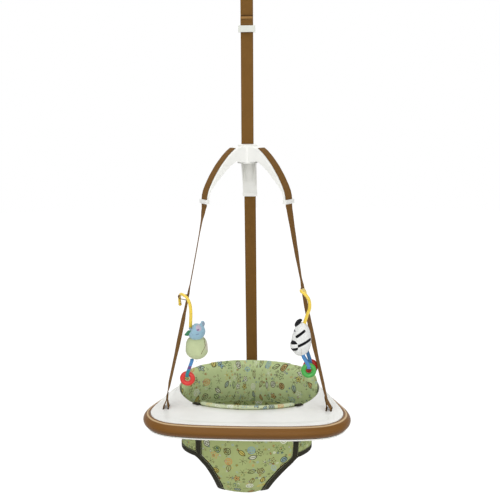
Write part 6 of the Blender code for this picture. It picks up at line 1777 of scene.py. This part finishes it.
@dataclass
class Toys:
    """Two stuffed toys on yellow hooks, with ribbon loops and teething rings."""

    hook_radius: float = 0.0035
    hook_tip: float = 0.0048
    ring_major: float = 0.0138
    ring_minor: float = 0.0066
    loop_width: float = 0.009
    loop_thickness: float = 0.002
    loop_gap: float = 0.0016
    stitch: Triple = (0.0026, 0.0010, 0.0010)
    # the hook's round tip: places along it and radii, as shares of the tip's radius
    knob: Tuple[Pair, ...] = (
        (-0.7, 0.74), (-0.35, 0.94), (0, 1.0), (0.35, 0.94), (0.7, 0.71), (0.92, 0.39), (0.995, 0.10))
    left_hook: Tuple[Triple, ...] = (
        (-0.1495, -0.0870, -1.2480), (-0.1475, -0.0930, -1.2250), (-0.1460, -0.0985, -1.1990),
        (-0.1480, -0.1010, -1.1780), (-0.1550, -0.1015, -1.1610), (-0.1640, -0.0985, -1.1545),
        (-0.1720, -0.0880, -1.1540), (-0.1775, -0.0745, -1.1605), (-0.1800, -0.0645, -1.1730),
        (-0.1795, -0.0590, -1.1880))
    right_hook: Tuple[Triple, ...] = (
        (0.1490, -0.0880, -1.2400), (0.1590, -0.0940, -1.2060), (0.1650, -0.1000, -1.1860),
        (0.1630, -0.1050, -1.1640), (0.1530, -0.1040, -1.1490), (0.1440, -0.0950, -1.1440),
        (0.1430, -0.0820, -1.1430), (0.1475, -0.0720, -1.1440), (0.1520, -0.0620, -1.1480),
        (0.1545, -0.0560, -1.1580), (0.1545, -0.0540, -1.1690))

    def build(self, palette: Palette, repeater: Repeater) -> None:
        """Builds both toys."""
        for name, route, body in (("left_hook", self.left_hook, Body.LEFT_TOY),
                                  ("right_hook", self.right_hook, Body.RIGHT_TOY)):
            points = smooth_route(route, 6)
            heading, tip = headings(points)[-1], points.pop()
            count = len(points)
            radii = [self.hook_radius * (1.26 if i < (count + 1) * 0.4 else 1.14) for i in range(count)]
            points += [tip + heading * (self.hook_tip * along) for along, _ in self.knob]
            radii += [self.hook_tip * across for _, across in self.knob]
            piece = rounded_bar(f"{name}_bar", points, radii, palette["hook_yellow"], FRONT)
            settle(piece, body, name)
        small = Stuffing(voxel=0.0020, pressure=3.0, swell=0.0009, inset=0.0004)
        for node, name, look, body, slot in (
            ("left_toy_body", "left_stuffed_body", "pale_green_plush", Body.LEFT_TOY, "toy_green"),
            ("left_toy_head", "left_stuffed_head", "pale_blue_plush", Body.LEFT_TOY, "toy_blue"),
            ("right_toy_body", "right_stuffed_body", "striped_plush", Body.RIGHT_TOY, "toy_white"),
            ("right_toy_muzzle", "right_stuffed_muzzle", "banded_plush", Body.RIGHT_TOY, "toy_black"),
            ("right_toy_mane", "right_stuffed_mane", "black_plush", Body.RIGHT_TOY, "toy_black"),
        ):
            piece = small.fill(node, name, palette[look])
            for vert in piece.data.vertices:
                vert.co += vert.normal * noise.noise(vert.co * 240.0) * 0.0004
                vert.co = self.slump(node, vert.co)
            refine(piece)
            settle(piece, body, node)
        self.limb(palette)
        self.seams(palette, repeater)
        for node, x, y, z, top_x, top_z, toy, ring in (
            ("left_red", -0.1590, -0.0900, -1.3840, -0.1462, -1.33071, Body.LEFT_TOY, Body.LEFT_RING),
            ("right_green", 0.1640, -0.0960, -1.3560, 0.1494, -1.31378, Body.RIGHT_TOY, Body.GREEN_RING),
            ("right_red", 0.1690, -0.0740, -1.3520, 0.1602, -1.30695, Body.RIGHT_TOY, Body.RED_RING),
        ):
            middle = Vector((x, y, z))
            hoop = [middle + Vector((math.cos(t), 0, math.sin(t))) * self.ring_major
                    for t in spread(0, math.tau, 56)[:-1]]
            colour = node.split("_")[1]
            look = palette[f"ring_{colour}"]
            piece = rounded_bar(f"{node}_teether", hoop, [self.ring_minor] * len(hoop), look, FRONT, True, 20)
            settle(piece, ring, f"{node}_ring")
            look = palette["tipped_ribbon" if node == "left_red" else "blue_ribbon"]
            self.ribbon(node, middle, Vector((top_x, y, top_z)), look, toy)

    def slump(self, node: str, at: Vector) -> Vector:
        """Moves a point of a stuffed piece as the sewn toy hangs.

        Args:
            node: the CAD node that the piece stands for.
            at: the point.

        Returns:
            The moved point.
        """
        x, y, z = at
        if node == "left_toy_body":
            rise = ease((z + 1.302) / 0.032)
            x, y = -0.133 + (x + 0.133) * (1 + 0.24 * rise), -0.090 + (y + 0.090) * (1 + 0.15 * rise)
            return Vector((x, y, z + 0.006 * ease((-1.296 - z) / 0.036)))
        if node == "left_toy_head":
            fall = ease((-0.136 - x) / 0.018) * ease((z + 1.262) / 0.030)
            return Vector((x + 0.004 * fall, y, z - 0.013 * fall))
        if node == "right_toy_body":
            return Vector((x, y, z + 0.007 * ease((z + 1.276) / 0.040)))
        if node == "right_toy_muzzle":
            return Vector((x + 0.005, y, z + 0.002))
        if node == "right_toy_mane":
            return Vector((x, y, z + 0.0055 + (x - 0.1365) * 0.55 + (z + 1.2275) * 0.25))
        return Vector(at)

    def ribbon(self, node: str, centre: Vector, top: Vector, look: Look, body: Body) -> None:
        """The flat loop from a toy's seam round its ring."""
        pivot = centre + UP * self.ring_major
        wrap = self.ring_minor + self.loop_gap + self.loop_thickness / 2
        crest = wrap * 0.45
        points = [pivot + Vector((0, wrap * math.cos(t), wrap * math.sin(t)))
                  for t in spread(math.pi, math.tau, 20)]
        points += [top - UP * crest + Vector((0, crest * math.cos(t), crest * math.sin(t)))
                   for t in spread(0, math.pi, 14)]
        band = Band(self.loop_width, self.loop_thickness, 6)
        piece = band.build(f"{node}_ribbon", points, [RIGHT] * len(points), look, closed=True)
        settle(piece, body, f"{node}_loop")

    def limb(self, palette: Palette) -> None:
        """The left toy's small leaf-shaped arm, sewn in between head and body."""
        bm = bmesh.new()
        bmesh.ops.create_uvsphere(bm, u_segments=20, v_segments=12, radius=0.5)
        for vert in bm.verts:
            x0, y0, z0 = vert.co
            taper = 1 - 0.7 * abs(x0) - 0.5 * max(0.0, -x0)
            vert.co = Vector((-0.1535 + x0 * 0.019, -0.1080 + y0 * 0.007, -1.2545 + z0 * 0.015 * taper + x0 * 0.010))
        piece = new_piece("left_toy_arm", bm, palette["leaf_green_plush"])
        refine(piece)
        settle(piece, Body.LEFT_TOY)

    def seams(self, palette: Palette, repeater: Repeater) -> None:
        """A line of stitches round each toy's middle where its halves are sewn."""
        for name, slot, body, centre, depth, tall, taper, thread in (
            ("left", "toy_green", Body.LEFT_TOY, (-0.1330, -0.0900, -1.2990), 0.048, 0.076, 0.22, "pale_thread"),
            ("right", "toy_white", Body.RIGHT_TOY, (0.1440, -0.0900, -1.2760), 0.046, 0.086, 0.10, "stitch_thread"),
        ):
            points = []
            for turn in spread(math.radians(205), math.radians(335), 24):
                height = math.sin(turn)
                side = math.cos(turn) * (1 - taper * height)
                points.append(Vector(centre) - Vector((0, side * depth / 2, -height * tall / 2)))
            marks = stitch_marks(points, lambda p, c=Vector(centre): p - c, pitch=0.0040, lift=0.0004)
            repeater.sew(f"{name}_toy_seam", marks, self.stitch, palette[thread], 17, body)


@dataclass
class Studio:
    """Pale floor, soft light and the camera at the photograph's angle."""

    distance: float = 2.2
    yaw: float = 3.0
    pitch: float = 9.63
    height: float = -0.680
    lens: float = 59.4
    shift: Pair = (0.004, 0.002)
    roll: float = -0.30
    floor_z: float = -1.98
    lights: Tuple[Tuple[str, Triple, float, float], ...] = (
        ("key", (-1.6, -2.6, 0.9), 2.2, 20.0), ("fill", (2.2, -1.8, -0.6), 2.4, 10.0),
        ("front", (0.15, -3.0, -0.55), 2.2, 25.0), ("top", (-0.4, -0.5, 1.9), 2.4, 34.0),
        ("back", (0.4, 2.4, 0.6), 2.4, 14.0))

    def build(self) -> None:
        """Builds the stage."""
        bm = bmesh.new()
        bmesh.ops.create_circle(bm, cap_ends=True, segments=64, radius=9.0)
        bmesh.ops.translate(bm, verts=bm.verts, vec=(0, 0, self.floor_z))
        floor = new_piece("studio_floor", bm, self.floor_look())
        for name, place, size, power in self.lights:
            data = bpy.data.lights.new(name, "AREA")
            data.size, data.energy = size, power
            lamp = linked(name, data)
            lamp.location = place
            lamp.rotation_euler = (-UP - Vector(place)).to_track_quat("-Z", "Y").to_euler()
        self.sky()
        data = bpy.data.cameras.new("camera")
        data.sensor_width, data.lens = 36.0, self.lens
        data.shift_x, data.shift_y = self.shift
        camera, yaw = linked("camera", data), math.radians(self.yaw)
        camera.location = compass(yaw, self.distance, self.distance) + UP * self.height
        turn = Euler((math.radians(90 - self.pitch), 0, yaw)).to_quaternion()
        camera.rotation_euler = (turn @ Quaternion((0, 0, 1), math.radians(self.roll))).to_euler()
        bpy.context.scene.camera = camera
        bpy.context.scene.view_settings.view_transform = "Standard"

    def seen(self, tree: Tree) -> Socket:
        """One where the camera, a mirror or clear matter looks on."""
        path = put(tree, "ShaderNodeLightPath").outputs
        found = path["Is Camera Ray"]
        for ray in ("Is Glossy Ray", "Is Transmission Ray"):
            found = put(tree, "ShaderNodeMath", {"operation": "MAXIMUM"}, {0: found, 1: path[ray]}).outputs[0]
        return found

    def floor_look(self) -> Look:
        """A pale floor that keeps a faint shadow and melts into the backdrop."""
        shader = Shader("studio_floor")
        feed(shader.tree, shader.bsdf.inputs["Base Color"], (0.9, 0.9, 0.9))
        feed(shader.tree, shader.bsdf.inputs["Roughness"], 0.8)
        away = shader.node("ShaderNodeVectorMath", {"operation": "LENGTH"}, {0: shader.coords("Object")}, "Value")
        fade = shader.node("ShaderNodeMapRange", values={"Value": away, "From Min": 0.6, "From Max": 2.6,
                                                         "To Min": 0.82, "To Max": 1.0})
        share = shader.math("MULTIPLY", Val(shader, self.seen(shader.tree)), fade)
        glow = shader.node("ShaderNodeEmission", values={"Strength": 1.08})
        mixed = shader.node("ShaderNodeMixShader", values={0: share, 1: shader.bsdf.outputs[0], 2: glow})
        feed(shader.tree, shader.tree.nodes["Material Output"].inputs[0], mixed)
        return shader.material

    def sky(self) -> None:
        """Even light all round, white where it is looked at."""
        world = bpy.data.worlds.new("studio_sky")
        bpy.context.scene.world = world
        world.use_nodes = True
        tree = world.node_tree
        plain = tree.nodes["Background"]
        feed(tree, plain.inputs[0], (0.96, 0.98, 1.0))
        feed(tree, plain.inputs[1], 0.50)
        white = put(tree, "ShaderNodeBackground", values={0: (1, 1, 1)})
        mixed = put(tree, "ShaderNodeMixShader", values={0: self.seen(tree), 1: plain.outputs[0],
                                                         2: white.outputs[0]})
        feed(tree, tree.nodes["World Output"].inputs[0], mixed.outputs[0])


def main() -> None:
    """Builds the object's looks in order and then the stage."""
    logging.basicConfig(level=logging.INFO, format="%(name)s: %(message)s")
    palette = Palette()
    repeater = Repeater()
    corners = SoftCorners(palette)
    HardParts().build(corners)
    Tray().build(palette, corners)
    SpringUnit().build(palette)
    Webs().build(palette, repeater)
    ClothSeat().build(palette, repeater)
    Toys().build(palette, repeater)
    Studio().build()
    LOG.info("all pieces built")


if __name__ == "__main__":
    main()
